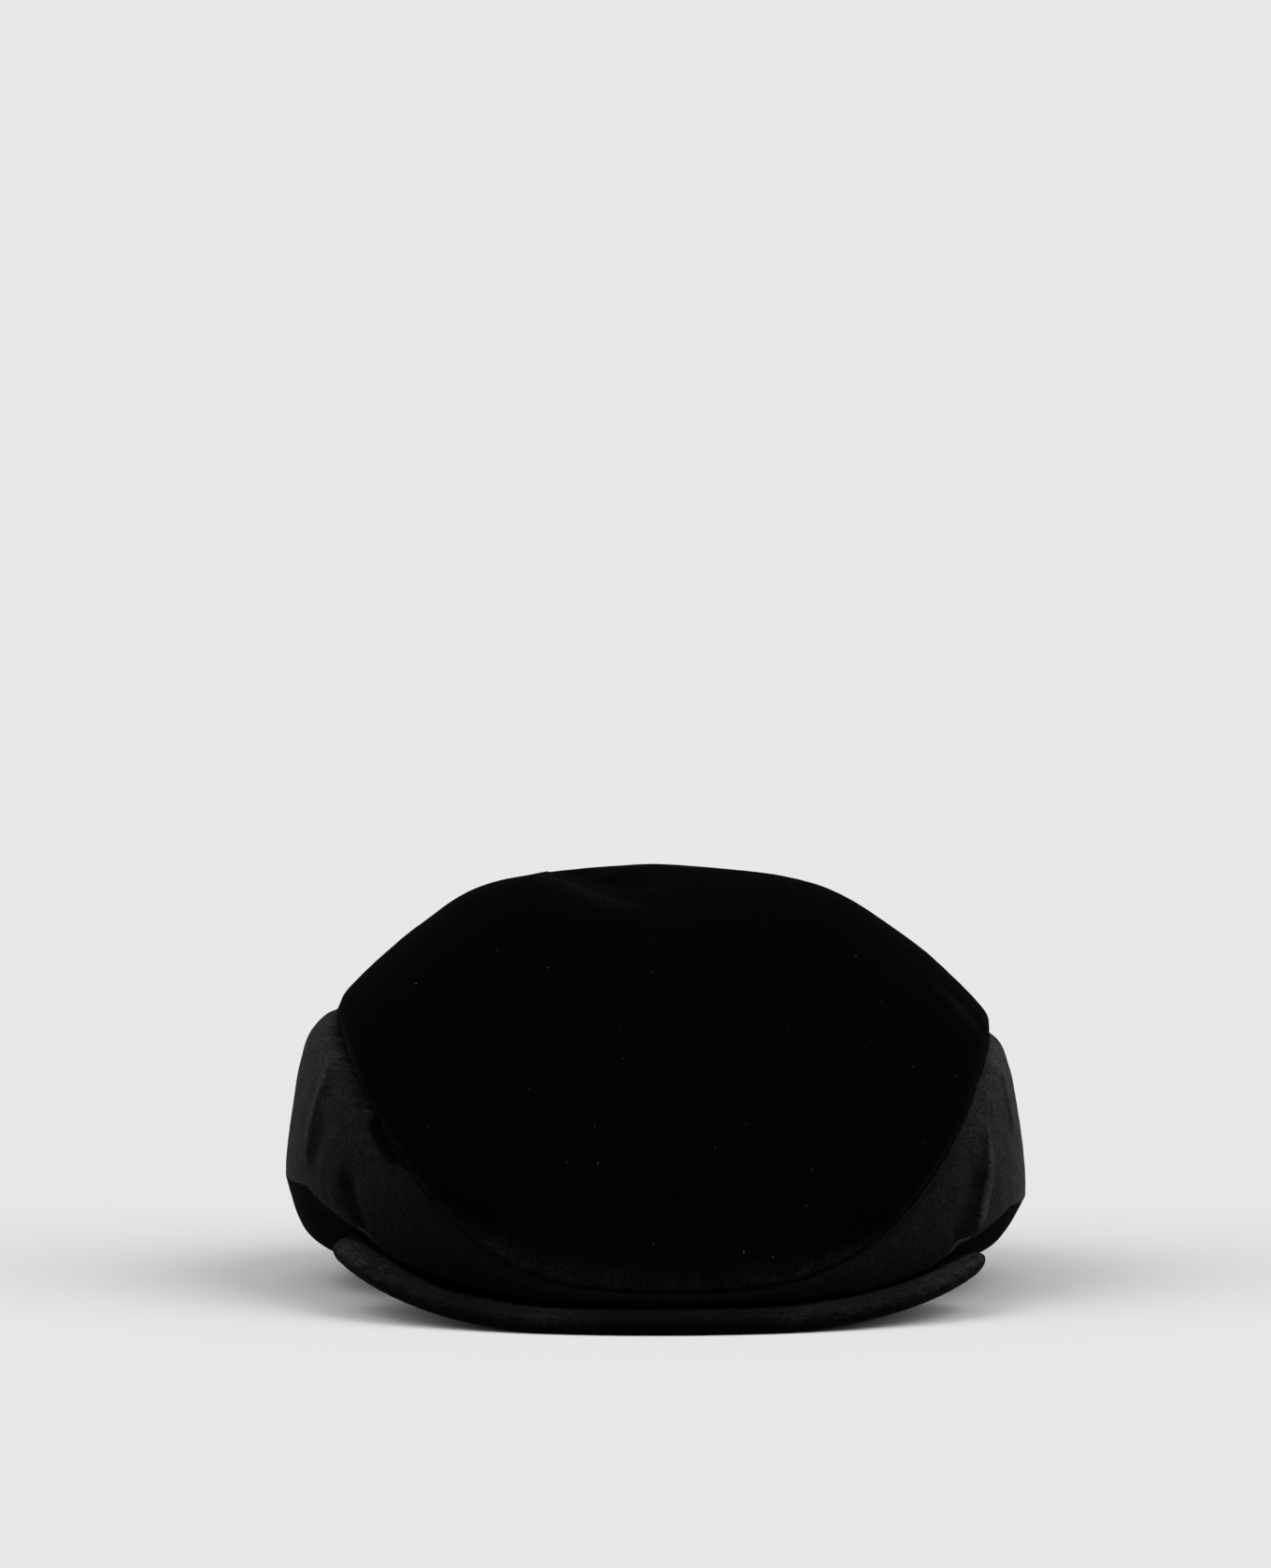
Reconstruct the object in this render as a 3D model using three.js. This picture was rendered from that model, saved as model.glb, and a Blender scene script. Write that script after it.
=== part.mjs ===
// A velvet flat cap: a domed crown top, two side panels and a short stiff visor, lying on a table.
// Millimetres, +Z up. The visor points to -Y, and +X is on the right of someone who looks at the visor.
// The origin is on the table, under the middle of the cap.

import * as THREE from 'three';

// Driving dimensions
const WALL = 1.8; // thickness of the cloth walls
const SEAM_GAP = 0.5; // between two panels, along their seams
const OPENING_CENTRE_Y = 17.5; // middle of the head opening
const APEX = new THREE.Vector3(0, 25.5, 126.5); // highest point of the crown

// The crown is drawn through closed rings, from the inside of the hem up to the apex.
// front, back: where a ring crosses the middle plane, along Y. left, right: its half widths.
// frontUp, leftUp, rightUp, backUp: its heights there. bendLeft, bendRight: how late it climbs to the sides.
// round: 1 where the wall passes smoothly, 0 where it turns at a hard edge.
// rows: how many mesh rows lead up to the next ring. hold: the share of its half width from which a ring keeps
// its side height.
const RINGS = [
  ring('hem_top', [-80.5, 111.5], [83.5, 83.5], [28.5, 17.5, 17.5, 6.5], [3, 3], 0, 1),
  ring('hem_foot', [-80.5, 111.5], [83.5, 83.5], [16.5, 5.5, 5.5, -5.5], [3, 3], 0, 1),
  ring('rim', [-84, 115], [87, 87], [16.5, 5.5, 5.5, -5.5], [3, 3], 0, 2),
  ring('lobe', [-105.5, 128.5], [105, 104.6], [12.5, 15, 13.5, 14], [2, 2], 1, 3),
  ring('crease', [-121, 133.5], [112.4, 114], [7, 33, 27, 34], [2.9, 3.8], 0.35, 4, 0.93),
  ring('side', [-122.1, 134.5], [110.8, 112.3], [7.7, 54, 50, 54], [2.3, 2.8], 1, 4),
  ring('under_seam', [-121.9, 130.5], [106.4, 108], [9.2, 75, 69, 70], [2.7, 3.2], 1, 3),
  ring('seam', [-120.3, 126.5], [97.5, 103.1], [10.7, 83.5, 76, 77], [2.8, 3.5], 0.35, 2),
  ring('shoulder', [-117, 118.5], [92.5, 100.4], [26, 91.5, 84.5, 92], [2.6, 3.2], 1, 4),
  ring('slope', [-87.5, 102.5], [73, 78], [70, 108.5, 105, 112], [2.2, 2.4], 1, 3),
  ring('plateau', [-37.5, 77.5], [47.5, 47.5], [109, 123, 122.3, 122], [2, 2], 1, 3),
];
const RIM = RINGS.find(({ name }) => name === 'rim');
const SEAM_LEVEL = RINGS.findIndex(({ name }) => name === 'seam');
const TOP_LEVEL = RINGS.length;

// Folds and dents of the cloth. Each follows a path of [angle, level] points: the angle in degrees from the
// visor round to the right (left is negative), the level counted in rings from 0 at the top of the hem.
// width: how far it spreads to each side. depth: how far the cloth moves out, or in where it is negative.
const FOLDS = [
  { name: 'left hollow', path: [[-64.5, 5.8], [-65, 5.4], [-66, 5], [-65.5, 4.4]], width: 3.8, depth: -2.4 },
  { name: 'left ridge', path: [[-80, 6.85], [-67.5, 5.8], [-68.6, 5.2], [-68.6, 4.4]], width: 3.2, depth: 1.5 },
  { name: 'left wedge', path: [[-55.5, 5], [-53.5, 4.55], [-50.5, 4.05]], width: 3.4, depth: -2.2 },
  { name: 'left tuck', path: [[-42, 3.5], [-58, 3.4], [-76, 3.45]], width: 6, depth: -4.5 },
  { name: 'right hollow', path: [[62.5, 5.7], [58, 4.88], [52.3, 4.12]], width: 3.6, depth: -2.6 },
  { name: 'right ridge', path: [[64, 5.85], [61, 4.95], [55.5, 4.1]], width: 3, depth: 1.3 },
  { name: 'right corner', path: [[78, 6.5], [76, 5.9], [75, 5.4], [75.5, 4.9]], width: 3.2, depth: 1.2 },
  { name: 'right tuck', path: [[42, 3.5], [57, 3.4], [74, 3.45]], width: 5.5, depth: -4 },
  { name: 'crown dent', path: [[-72, 10.5], [-31, 10.62], [8, 10.45]], width: 6.5, depth: -2.4 },
  { name: 'crown ridge', path: [[-66, 10.22], [-31, 10.28], [8, 10.2]], width: 4.5, depth: 1.5 },
  { name: 'right shoulder', path: [[73.5, 8.7], [75.2, 8.3], [74.5, 7.9]], width: 3.6, depth: 1 },
  { name: 'left side', path: [[-104, 6.5], [-108, 5.4], [-106, 4.3]], width: 7, depth: -2.6 },
  { name: 'right side', path: [[113, 6.3], [109, 5.2], [110, 4.3]], width: 7, depth: -2.3 },
  { name: 'back left', path: [[-152, 6.6], [-147, 5.4], [-149, 4.2]], width: 8, depth: -2.8 },
  { name: 'back right', path: [[160, 6.4], [152, 5.3], [153, 4.2]], width: 7, depth: -2.2 },
  { name: 'back of the crown', path: [[148, 9.2], [176, 9.45], [204, 9.3]], width: 9, depth: -2.2 },
  { name: 'left seam lip', path: [[-60, 6.8], [-80, 6.72], [-104, 6.75]], width: 3, depth: 1.3 },
  { name: 'right seam lip', path: [[68, 6.75], [88, 6.7], [110, 6.75]], width: 3, depth: 0.9 },
];
const FOLD_FADE = 0.28; // share of a fold's length over which each of its ends dies away

// Mesh columns on each side, closer together where the folds are
const COLUMNS = [
  { from: 0, to: 30, steps: 5 },
  { from: 30, to: 84, steps: 15 },
  { from: 84, to: 126, steps: 5 },
  { from: 126, to: 180, steps: 7 },
];

// The visor: a crescent between its outer edge and the rim of the head opening
const VISOR = {
  halfLeft: 95.5,
  halfRight: 97.8,
  depth: 76.5, // from the outer edge's front back to its widest line
  widestY: -58.5,
  thickness: 4.5, // at its outer edge
  padding: 1.2, // how much thicker it is inside
  rimAngle: 55, // where its ends meet the rim
  flatShare: 0.3, // front share of its depth that lies flat on the table, and over which it thickens
  rise: 1.3, // how late it rises towards the rim
  liftLeft: 17.2, // height of its two ends, which curl up with the sides of the head
  liftRight: 14,
  liftBend: 3.25,
  tilt: 3.4, // how much higher its left end is towards the crown than at the outer edge
  tiltFrom: 0.6, // shares of its half width between which that tilt grows
  tiltTo: 0.92,
  sink: 0.5, // how far the curl starts below the table, which leaves the middle flat
  cornerAngle: 78, // from here its outer corners are rounded
  cornerShare: 0.35,
};
const VISOR_COLUMNS = 30;
const VISOR_SHARES = [0.2, 0.46, 0.73, 1]; // section points from the edge to the rim
const VISOR_EDGE_STEPS = 4; // round the half circle of its outer edge
const VISOR_GAP = 0.6; // between the visor and the cloth that lies on it
const DRAPE = { from: 58, to: 70 }; // angles over which the cloth drops from the visor's end
const SOFTNESS = 1; // rounding where the cloth meets the visor's top

const MATERIALS = {
  topPanel: velvet(0x0b0b0c),
  sidePanel: velvet(0x1c1b1d),
  visor: velvet(0x1f1e20),
};

function ring(name, [front, back], [left, right], heights, [bendLeft, bendRight], round, rows, hold = 1) {
  const [frontUp, leftUp, rightUp, backUp] = heights;
  const ends = { front, back, frontUp, backUp };
  return { name, ...ends, left, right, leftUp, rightUp, bendLeft, bendRight, round, rows, hold };
}

function velvet(color) {
  return new THREE.MeshStandardMaterial({ color, roughness: 0.95, metalness: 0 });
}

// The point of a ring at an angle from the visor, flattened where it would go below the table
function ringPoint(row, angle) {
  const side = Math.sin(angle);
  const ahead = Math.cos(angle);
  const isLeft = side < 0;
  const end = ahead > 0 ? OPENING_CENTRE_Y - row.front : row.back - OPENING_CENTRE_Y;
  const endUp = ahead > 0 ? row.frontUp : row.backUp;
  const sideUp = isLeft ? row.leftUp : row.rightUp;
  const bend = isLeft ? row.bendLeft : row.bendRight;
  const x = (isLeft ? row.left : row.right) * side;
  const height = endUp + (sideUp - endUp) * Math.min(1, Math.abs(side) / row.hold) ** bend;
  return new THREE.Vector3(x, OPENING_CENTRE_Y - end * ahead, Math.max(0, height));
}

// The rings' own point at a level, which runs past the apex to the far side of the plateau
function levelPoint(level, angle) {
  if (level < TOP_LEVEL) return ringPoint(RINGS[Math.max(0, level)], angle);
  return level === TOP_LEVEL ? APEX.clone() : ringPoint(RINGS[TOP_LEVEL - 1], angle + Math.PI);
}

// A cubic through the rings above and below, with its tangents straightened at the hard edges
function profilePoint(angle, level) {
  const lower = Math.min(Math.floor(level), TOP_LEVEL - 1);
  const [before, start, end, after] = [-1, 0, 1, 2].map((step) => levelPoint(lower + step, angle));
  const chord = end.clone().sub(start);
  const tangent = (from, to, round) => to.clone().sub(from).multiplyScalar(0.5).lerp(chord, 1 - round);
  const leave = tangent(before, end, RINGS[lower].round);
  const arrive = tangent(start, after, lower + 1 < TOP_LEVEL ? RINGS[lower + 1].round : 1);
  const u = level - lower;
  return start.multiplyScalar(2 * u ** 3 - 3 * u ** 2 + 1)
    .addScaledVector(leave, u ** 3 - 2 * u ** 2 + u)
    .addScaledVector(end, 3 * u ** 2 - 2 * u ** 3)
    .addScaledVector(arrive, u ** 3 - u ** 2);
}

// The outward direction of a surface, from the slopes on both sides of the point
function normalOf(surface, angle, level) {
  const turn = 0.008;
  const step = 0.03;
  if (level > TOP_LEVEL - step) return new THREE.Vector3(0, 0, 1);
  const across = surface(angle + turn, level).sub(surface(angle - turn, level));
  const here = surface(angle, level);
  const up = surface(angle, level + step).sub(here).normalize();
  if (level > step) up.add(here.sub(surface(angle, level - step)).normalize());
  return across.cross(up).normalize();
}

function prepareFold({ path, width, depth }) {
  const points = path.map(([degrees, level]) => profilePoint(THREE.MathUtils.degToRad(degrees), level));
  const lengths = points.slice(1).map((point, i) => point.distanceTo(points[i]));
  const length = lengths.reduce((sum, part) => sum + part, 0);
  return { points, lengths, length, width, depth };
}
const foldPaths = FOLDS.map(prepareFold);

// How far one fold moves the cloth at a point: a bell across its path that fades at both ends
function foldAt({ points, lengths, length, width, depth }, point) {
  let nearest = Infinity;
  let along = 0;
  let passed = 0;
  for (let i = 0; i < lengths.length; i += 1) {
    const segment = new THREE.Line3(points[i], points[i + 1]);
    const share = segment.closestPointToPointParameter(point, true);
    const distance = segment.at(share, new THREE.Vector3()).distanceTo(point);
    if (distance < nearest) {
      nearest = distance;
      along = (passed + share * lengths[i]) / length;
    }
    passed += lengths[i];
  }
  const fade = THREE.MathUtils.smoothstep(Math.min(along, 1 - along), 0, FOLD_FADE);
  return depth * fade * Math.exp(-0.5 * (nearest / width) ** 2);
}

function visorHalf(x) {
  return x < 0 ? VISOR.halfLeft : VISOR.halfRight;
}

// 0 at the visor's outer edge, 1 at the rim of the head opening
function visorShare(x, y) {
  const outer = 1 - Math.hypot(x / visorHalf(x), Math.min(y - VISOR.widestY, 0) / VISOR.depth);
  const inner = Math.hypot(x / RIM.right, (y - OPENING_CENTRE_Y) / (OPENING_CENTRE_Y - RIM.front)) - 1;
  if (outer <= 0) return 0;
  return inner <= 0 ? 1 : outer / (outer + inner);
}

// Height of the visor's underside above the table
function visorBottom(x, y) {
  const out = Math.min(1, Math.abs(x) / visorHalf(x));
  const lift = x < 0 ? VISOR.liftLeft : VISOR.liftRight;
  const edge = Math.max(0, lift * out ** VISOR.liftBend - VISOR.sink);
  const side = Math.min(1, Math.abs(x) / RIM.right);
  const rimUp = RIM.frontUp + (RIM.rightUp - RIM.frontUp) * side ** RIM.bendRight;
  const inner = Math.max(edge, rimUp - VISOR_GAP - VISOR.thickness - VISOR.padding);
  const share = visorShare(x, y);
  const turned = x < 0 ? THREE.MathUtils.smoothstep(out, VISOR.tiltFrom, VISOR.tiltTo) : 0;
  const tilt = VISOR.tilt * turned * THREE.MathUtils.smoothstep(share, 0, VISOR.flatShare);
  const inward = Math.max(0, share - VISOR.flatShare) / (1 - VISOR.flatShare);
  return THREE.MathUtils.lerp(edge, inner, inward ** VISOR.rise) + tilt;
}

function visorTop(x, y) {
  const padded = THREE.MathUtils.smoothstep(visorShare(x, y), 0, VISOR.flatShare);
  return visorBottom(x, y) + VISOR.thickness + VISOR.padding * padded;
}

// Lifts the cloth clear of the visor's top, and lets it drop past the visor's ends
function drapeOnVisor(point, angle) {
  const turned = THREE.MathUtils.radToDeg(Math.abs(Math.atan2(Math.sin(angle), Math.cos(angle))));
  const weight = 1 - THREE.MathUtils.smoothstep(turned, DRAPE.from, DRAPE.to);
  const top = visorTop(point.x, point.y) + VISOR_GAP;
  const above = point.z - top;
  const lifted = top + 0.5 * (above + Math.hypot(above, SOFTNESS));
  return point.setZ(Math.max(0, THREE.MathUtils.lerp(point.z, lifted, weight)));
}

// The outside of the cloth
function outerPoint(angle, level) {
  const point = profilePoint(angle, level);
  const depth = foldPaths.reduce((sum, fold) => sum + foldAt(fold, point), 0);
  return drapeOnVisor(point.addScaledVector(normalOf(profilePoint, angle, level), depth), angle);
}

// The inside of the cloth, one wall thickness in
function innerPoint(angle, level) {
  return outerPoint(angle, level).addScaledVector(normalOf(outerPoint, angle, level), -WALL);
}

// The level that lies half a seam gap above or below the top seam
function seamEdge(angle, direction) {
  const step = 0.02 * direction;
  const reach = outerPoint(angle, SEAM_LEVEL + step).distanceTo(outerPoint(angle, SEAM_LEVEL));
  return SEAM_LEVEL + (step * SEAM_GAP) / (2 * reach);
}

// Levels of the mesh rows from one ring to another, both included
function rowLevels(from, to) {
  const levels = [from];
  for (let level = from; level < to; level += 1) {
    for (let row = 1; row <= RINGS[level].rows; row += 1) levels.push(level + row / RINGS[level].rows);
  }
  return levels;
}

// Angles of the mesh columns on the right side, from the front seam to the back seam
function columnAngles() {
  const angles = [0];
  for (const { from, to, steps } of COLUMNS) {
    for (let step = 1; step <= steps; step += 1) angles.push(from + ((to - from) * step) / steps);
  }
  return angles.map(THREE.MathUtils.degToRad);
}

// A closed shell from an outer and an inner grid of points, grid[row][column], seen from outside with its
// columns to the right and its rows upward. A ring of columns closes on itself and its last row is a point.
function shellGeometry(outer, inner, isDome) {
  const rows = outer.length;
  const columns = outer[0].length;
  const points = [...outer.flat(), ...inner.flat()];
  const triangles = [];
  const at = (layer, row, column) => (layer * rows + row) * columns + (column % columns);
  const quad = (a, b, c, d) => triangles.push(a, b, c, a, c, d);
  const lastColumn = isDome ? columns : columns - 1;
  const lastRow = isDome ? rows - 2 : rows - 1;
  for (let column = 0; column < lastColumn; column += 1) {
    const next = column + 1;
    for (let row = 0; row < lastRow; row += 1) {
      quad(at(0, row, column), at(0, row, next), at(0, row + 1, next), at(0, row + 1, column));
      quad(at(1, row, next), at(1, row, column), at(1, row + 1, column), at(1, row + 1, next));
    }
    quad(at(1, 0, column), at(1, 0, next), at(0, 0, next), at(0, 0, column));
    if (isDome) {
      triangles.push(at(0, lastRow, column), at(0, lastRow, next), at(0, rows - 1, 0));
      triangles.push(at(1, lastRow, next), at(1, lastRow, column), at(1, rows - 1, 0));
    } else {
      quad(at(0, lastRow, column), at(0, lastRow, next), at(1, lastRow, next), at(1, lastRow, column));
    }
  }
  for (let row = 0; row < lastRow && !isDome; row += 1) {
    const above = row + 1;
    quad(at(1, row, 0), at(0, row, 0), at(0, above, 0), at(1, above, 0));
    quad(at(0, row, lastColumn), at(1, row, lastColumn), at(1, above, lastColumn), at(0, above, lastColumn));
  }
  return indexedGeometry(points, triangles);
}

function indexedGeometry(points, triangles) {
  const geometry = new THREE.BufferGeometry().setFromPoints(points);
  geometry.setIndex(triangles);
  geometry.computeVertexNormals();
  return geometry;
}

// The crown's top, one panel from seam to seam
function topPanel() {
  const right = columnAngles();
  const left = right.slice(1, -1).map((angle) => 2 * Math.PI - angle).reverse();
  const angles = [...right, ...left];
  const levels = rowLevels(SEAM_LEVEL, TOP_LEVEL);
  const grid = (surface) => levels.map((level) =>
    angles.map((angle) => surface(angle, level === SEAM_LEVEL ? seamEdge(angle, 1) : level)));
  return named('top_panel', shellGeometry(grid(outerPoint), grid(innerPoint), true), MATERIALS.topPanel);
}

// One side panel, from the hem in the head opening out under the crown and up to the top seam
function sidePanel(name, isLeft) {
  const seamAngle = SEAM_GAP / (RINGS[SEAM_LEVEL].left + RINGS[SEAM_LEVEL].right);
  const right = columnAngles();
  right[0] = seamAngle;
  right[right.length - 1] = Math.PI - seamAngle;
  const angles = isLeft ? right.map((angle) => -angle).reverse() : right;
  const levels = rowLevels(0, SEAM_LEVEL);
  const grid = (surface) => levels.map((level) =>
    angles.map((angle) => surface(angle, level === SEAM_LEVEL ? seamEdge(angle, -1) : level)));
  return named(name, shellGeometry(grid(outerPoint), grid(innerPoint), false), MATERIALS.sidePanel);
}

// A section of the visor across its depth, as a closed loop of points round its outer edge
function visorSection(turn) {
  const outerAngle = turn * Math.PI / 2;
  const rimPoint = ringPoint(RIM, turn * THREE.MathUtils.degToRad(VISOR.rimAngle));
  const outerX = visorHalf(turn) * Math.sin(outerAngle);
  const outerPlan = new THREE.Vector2(outerX, VISOR.widestY - VISOR.depth * Math.cos(outerAngle));
  const rimPlan = new THREE.Vector2(rimPoint.x, rimPoint.y);
  const corner = Math.max(0, (Math.abs(turn) * 90 - VISOR.cornerAngle) / (90 - VISOR.cornerAngle));
  outerPlan.lerp(rimPlan, VISOR.cornerShare * (1 - Math.sqrt(1 - corner ** 2)));
  const half = VISOR.thickness / 2;
  const edgeShare = half / outerPlan.distanceTo(rimPlan);
  const pointAt = (share, up) => {
    const plan = outerPlan.clone().lerp(rimPlan, share);
    const height = THREE.MathUtils.lerp(visorBottom(plan.x, plan.y), visorTop(plan.x, plan.y), up);
    return new THREE.Vector3(plan.x, plan.y, height);
  };
  const loop = VISOR_SHARES.map((share) => pointAt(share, 1)).reverse();
  for (let step = 0; step <= VISOR_EDGE_STEPS; step += 1) {
    const tilt = Math.PI * (0.5 - step / VISOR_EDGE_STEPS);
    loop.push(pointAt(edgeShare * (1 - Math.cos(tilt)), 0.5 + 0.5 * Math.sin(tilt)));
  }
  VISOR_SHARES.forEach((share) => loop.push(pointAt(share, 0)));
  return loop;
}

function visor() {
  const sections = [];
  for (let column = 0; column <= VISOR_COLUMNS; column += 1) {
    sections.push(visorSection(-1 + (2 * column) / VISOR_COLUMNS));
  }
  const size = sections[0].length;
  const triangles = [];
  for (let column = 0; column < VISOR_COLUMNS; column += 1) {
    for (let i = 0; i < size; i += 1) {
      const next = (i + 1) % size;
      const [a, b] = [column * size + i, column * size + next];
      triangles.push(a, b, b + size, a, b + size, a + size);
    }
  }
  // Each end is closed by a strip between its top and bottom points, which meet at the edge's middle point
  const last = VISOR_COLUMNS * size;
  for (let i = 0; i < size / 2 - 1; i += 1) {
    const [a, b, c, d] = [i, i + 1, size - 2 - i, size - 1 - i];
    triangles.push(a, d, b, last + a, last + b, last + d);
    if (b !== c) triangles.push(b, d, c, last + b, last + c, last + d);
  }
  return named('visor', indexedGeometry(sections.flat(), triangles), MATERIALS.visor);
}

function named(name, geometry, material) {
  const mesh = new THREE.Mesh(geometry, material);
  mesh.name = name;
  return mesh;
}

const cap = new THREE.Group();
cap.add(topPanel());
cap.add(sidePanel('side_panel_left', true));
cap.add(sidePanel('side_panel_right', false));
cap.add(visor());

export default cap;
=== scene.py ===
"""Velvet flat cap: the finished cloth, built round its packed construction model.

Sizes in the tables are millimetres, and meshes are made in metres. The visor points to -Y, +Z is up, and
+X is on the right of someone who looks at the visor. The floor is z = 0.
"""

import logging
import math
from collections.abc import Callable
from dataclasses import asdict, dataclass, field
from enum import Enum

import bmesh
import bpy
import numpy as np
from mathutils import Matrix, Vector, noise


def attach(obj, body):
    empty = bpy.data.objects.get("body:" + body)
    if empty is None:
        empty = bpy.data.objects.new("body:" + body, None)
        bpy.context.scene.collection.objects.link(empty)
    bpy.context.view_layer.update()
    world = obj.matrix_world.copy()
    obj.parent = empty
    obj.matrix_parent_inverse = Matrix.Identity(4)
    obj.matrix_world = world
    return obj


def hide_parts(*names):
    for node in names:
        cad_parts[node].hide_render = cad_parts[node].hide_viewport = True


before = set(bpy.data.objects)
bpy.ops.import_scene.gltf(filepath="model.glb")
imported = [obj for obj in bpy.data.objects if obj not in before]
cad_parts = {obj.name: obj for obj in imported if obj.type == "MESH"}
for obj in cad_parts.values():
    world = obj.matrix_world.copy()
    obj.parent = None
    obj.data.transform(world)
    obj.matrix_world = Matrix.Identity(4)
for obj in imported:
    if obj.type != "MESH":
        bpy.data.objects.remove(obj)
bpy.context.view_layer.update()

LOG = logging.getLogger("velvet_cap")
MM = 0.001
TINY = 1e-9
BODY = "root"
# Names the attribute that mixes each velvet's colours: painted sheen and painted shade, with brushed places.
SHEEN_AND_NAP = "sheen_and_nap"
WALL = "wall"
# Grid points nearer than this are one.
MERGED_MM = 0.004
# A function of two coordinates for each point.
Surface = Callable[[np.ndarray, np.ndarray], np.ndarray]


class Side(Enum):
    """The two sides of the cap, as seen from in front of the visor."""

    LEFT = -1
    RIGHT = 1


class Crest(Enum):
    """How a fold looks across its path."""

    SOFT = "soft"
    CRISP = "crisp"


@dataclass(frozen=True)
class Ring:
    """A closed ring round the crown, in millimetres.

    front and back are where it crosses the middle plane, left and right its half widths, and the four heights
    follow in the same order. bends say how late it climbs to the sides, and roundness is 1 where the cloth
    passes smoothly and 0 where it turns at a hard edge. From the share hold of its half width outwards a ring
    keeps its side height.
    """

    name: str
    front: float
    back: float
    left: float
    right: float
    front_up: float
    left_up: float
    right_up: float
    back_up: float
    bend_left: float
    bend_right: float
    roundness: float
    hold: float = 1.0


@dataclass(frozen=True)
class Fold:
    """A fold or dent along a path of (angle, level) points.

    Angles are degrees from the visor round to the right, levels count the rings from the top of the hem.
    width and depth are millimetres, and a negative depth goes in.
    """

    path: tuple[tuple[float, float], ...]
    width: float
    depth: float
    crest: Crest = Crest.SOFT


RINGS = (
    Ring("hem_top", -80.5, 111.5, 83.5, 83.5, 28.5, 17.5, 17.5, 6.5, 3, 3, 0.0),
    Ring("hem_foot", -80.5, 111.5, 83.5, 83.5, 16.5, 5.5, 5.5, -5.5, 3, 3, 0.2),
    Ring("rim", -84, 115, 87, 87, 16.5, 5.5, 5.5, -5.5, 3, 3, 0.2),
    Ring("lobe", -105.5, 128.5, 105, 104.6, 12.5, 15, 13.5, 14, 2, 2, 1.0),
    Ring("crease", -121, 133.5, 112.4, 114, 7, 33, 27, 34, 2.9, 3.8, 0.35, 0.93),
    Ring("side", -122.1, 134.5, 110.8, 112.3, 7.7, 54, 50, 54, 2.3, 2.8, 1.0),
    Ring("under_seam", -121.9, 130.5, 106.4, 108, 9.2, 75, 69, 70, 2.7, 3.2, 1.0),
    Ring("seam", -120.3, 126.5, 97.5, 103.1, 10.7, 83.5, 76, 77, 2.8, 3.5, 0.35),
    Ring("shoulder", -117, 118.5, 92.5, 100.4, 26, 91.5, 84.5, 92, 2.6, 3.2, 1.0),
    Ring("slope", -87.5, 102.5, 73, 78, 70, 108.5, 105, 112, 2.2, 2.4, 1.0),
    Ring("plateau", -37.5, 77.5, 47.5, 47.5, 109, 123, 122.3, 122, 2, 2, 1.0),
)
APEX = (0.0, 25.5, 126.5)
LEVELS = {ring.name: level for level, ring in enumerate(RINGS)}
CREASE_LEVEL = LEVELS["crease"]
SEAM_LEVEL = LEVELS["seam"]
TOP_LEVEL = len(RINGS)
RIM = RINGS[LEVELS["rim"]]
CREASE = RINGS[CREASE_LEVEL]
OPENING_CENTRE_Y = 17.5
# Steps in level, and in angle and level, over which slopes are measured.
LEVEL_STEP = 0.02
NORMAL_STEPS = (0.008, 0.03)

RECESS = ((-58.0, 7.0), (-55.5, 6.9), (-53.0, 6.87), (-51.0, 6.89), (-48.0, 6.98))
LEFT_RIDGE = ((-71.5, 6.6), (-68.0, 5.95), (-68.4, 5.2), (-68.4, 4.4))
LEFT_HOLLOW = ((-63.6, 5.9), (-64.6, 5.5), (-65.4, 5.15), (-66.0, 4.8), (-65.8, 4.3))
LEFT_WEDGE = ((-56.6, 5.4), (-53.6, 4.85), (-50.6, 4.35), (-48.0, 3.85))
WEDGE_EDGE = ((-53.6, 5.3), (-50.8, 4.85), (-47.8, 4.4), (-45.6, 4.0))
RIGHT_RIDGE = ((65, 6.1), (62.8, 5.5), (60.6, 4.9), (57.8, 4.4), (54.0, 3.85))
RIGHT_HOLLOW = ((60.6, 5.5), (58.1, 5.1), (55.2, 4.75), (52.2, 4.35), (49.4, 3.95))
CROWN_RIDGE = ((-104, 10.3), (-63, 10.28), (-41, 10.28), (-20, 10.25), (4, 10.2))
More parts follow.
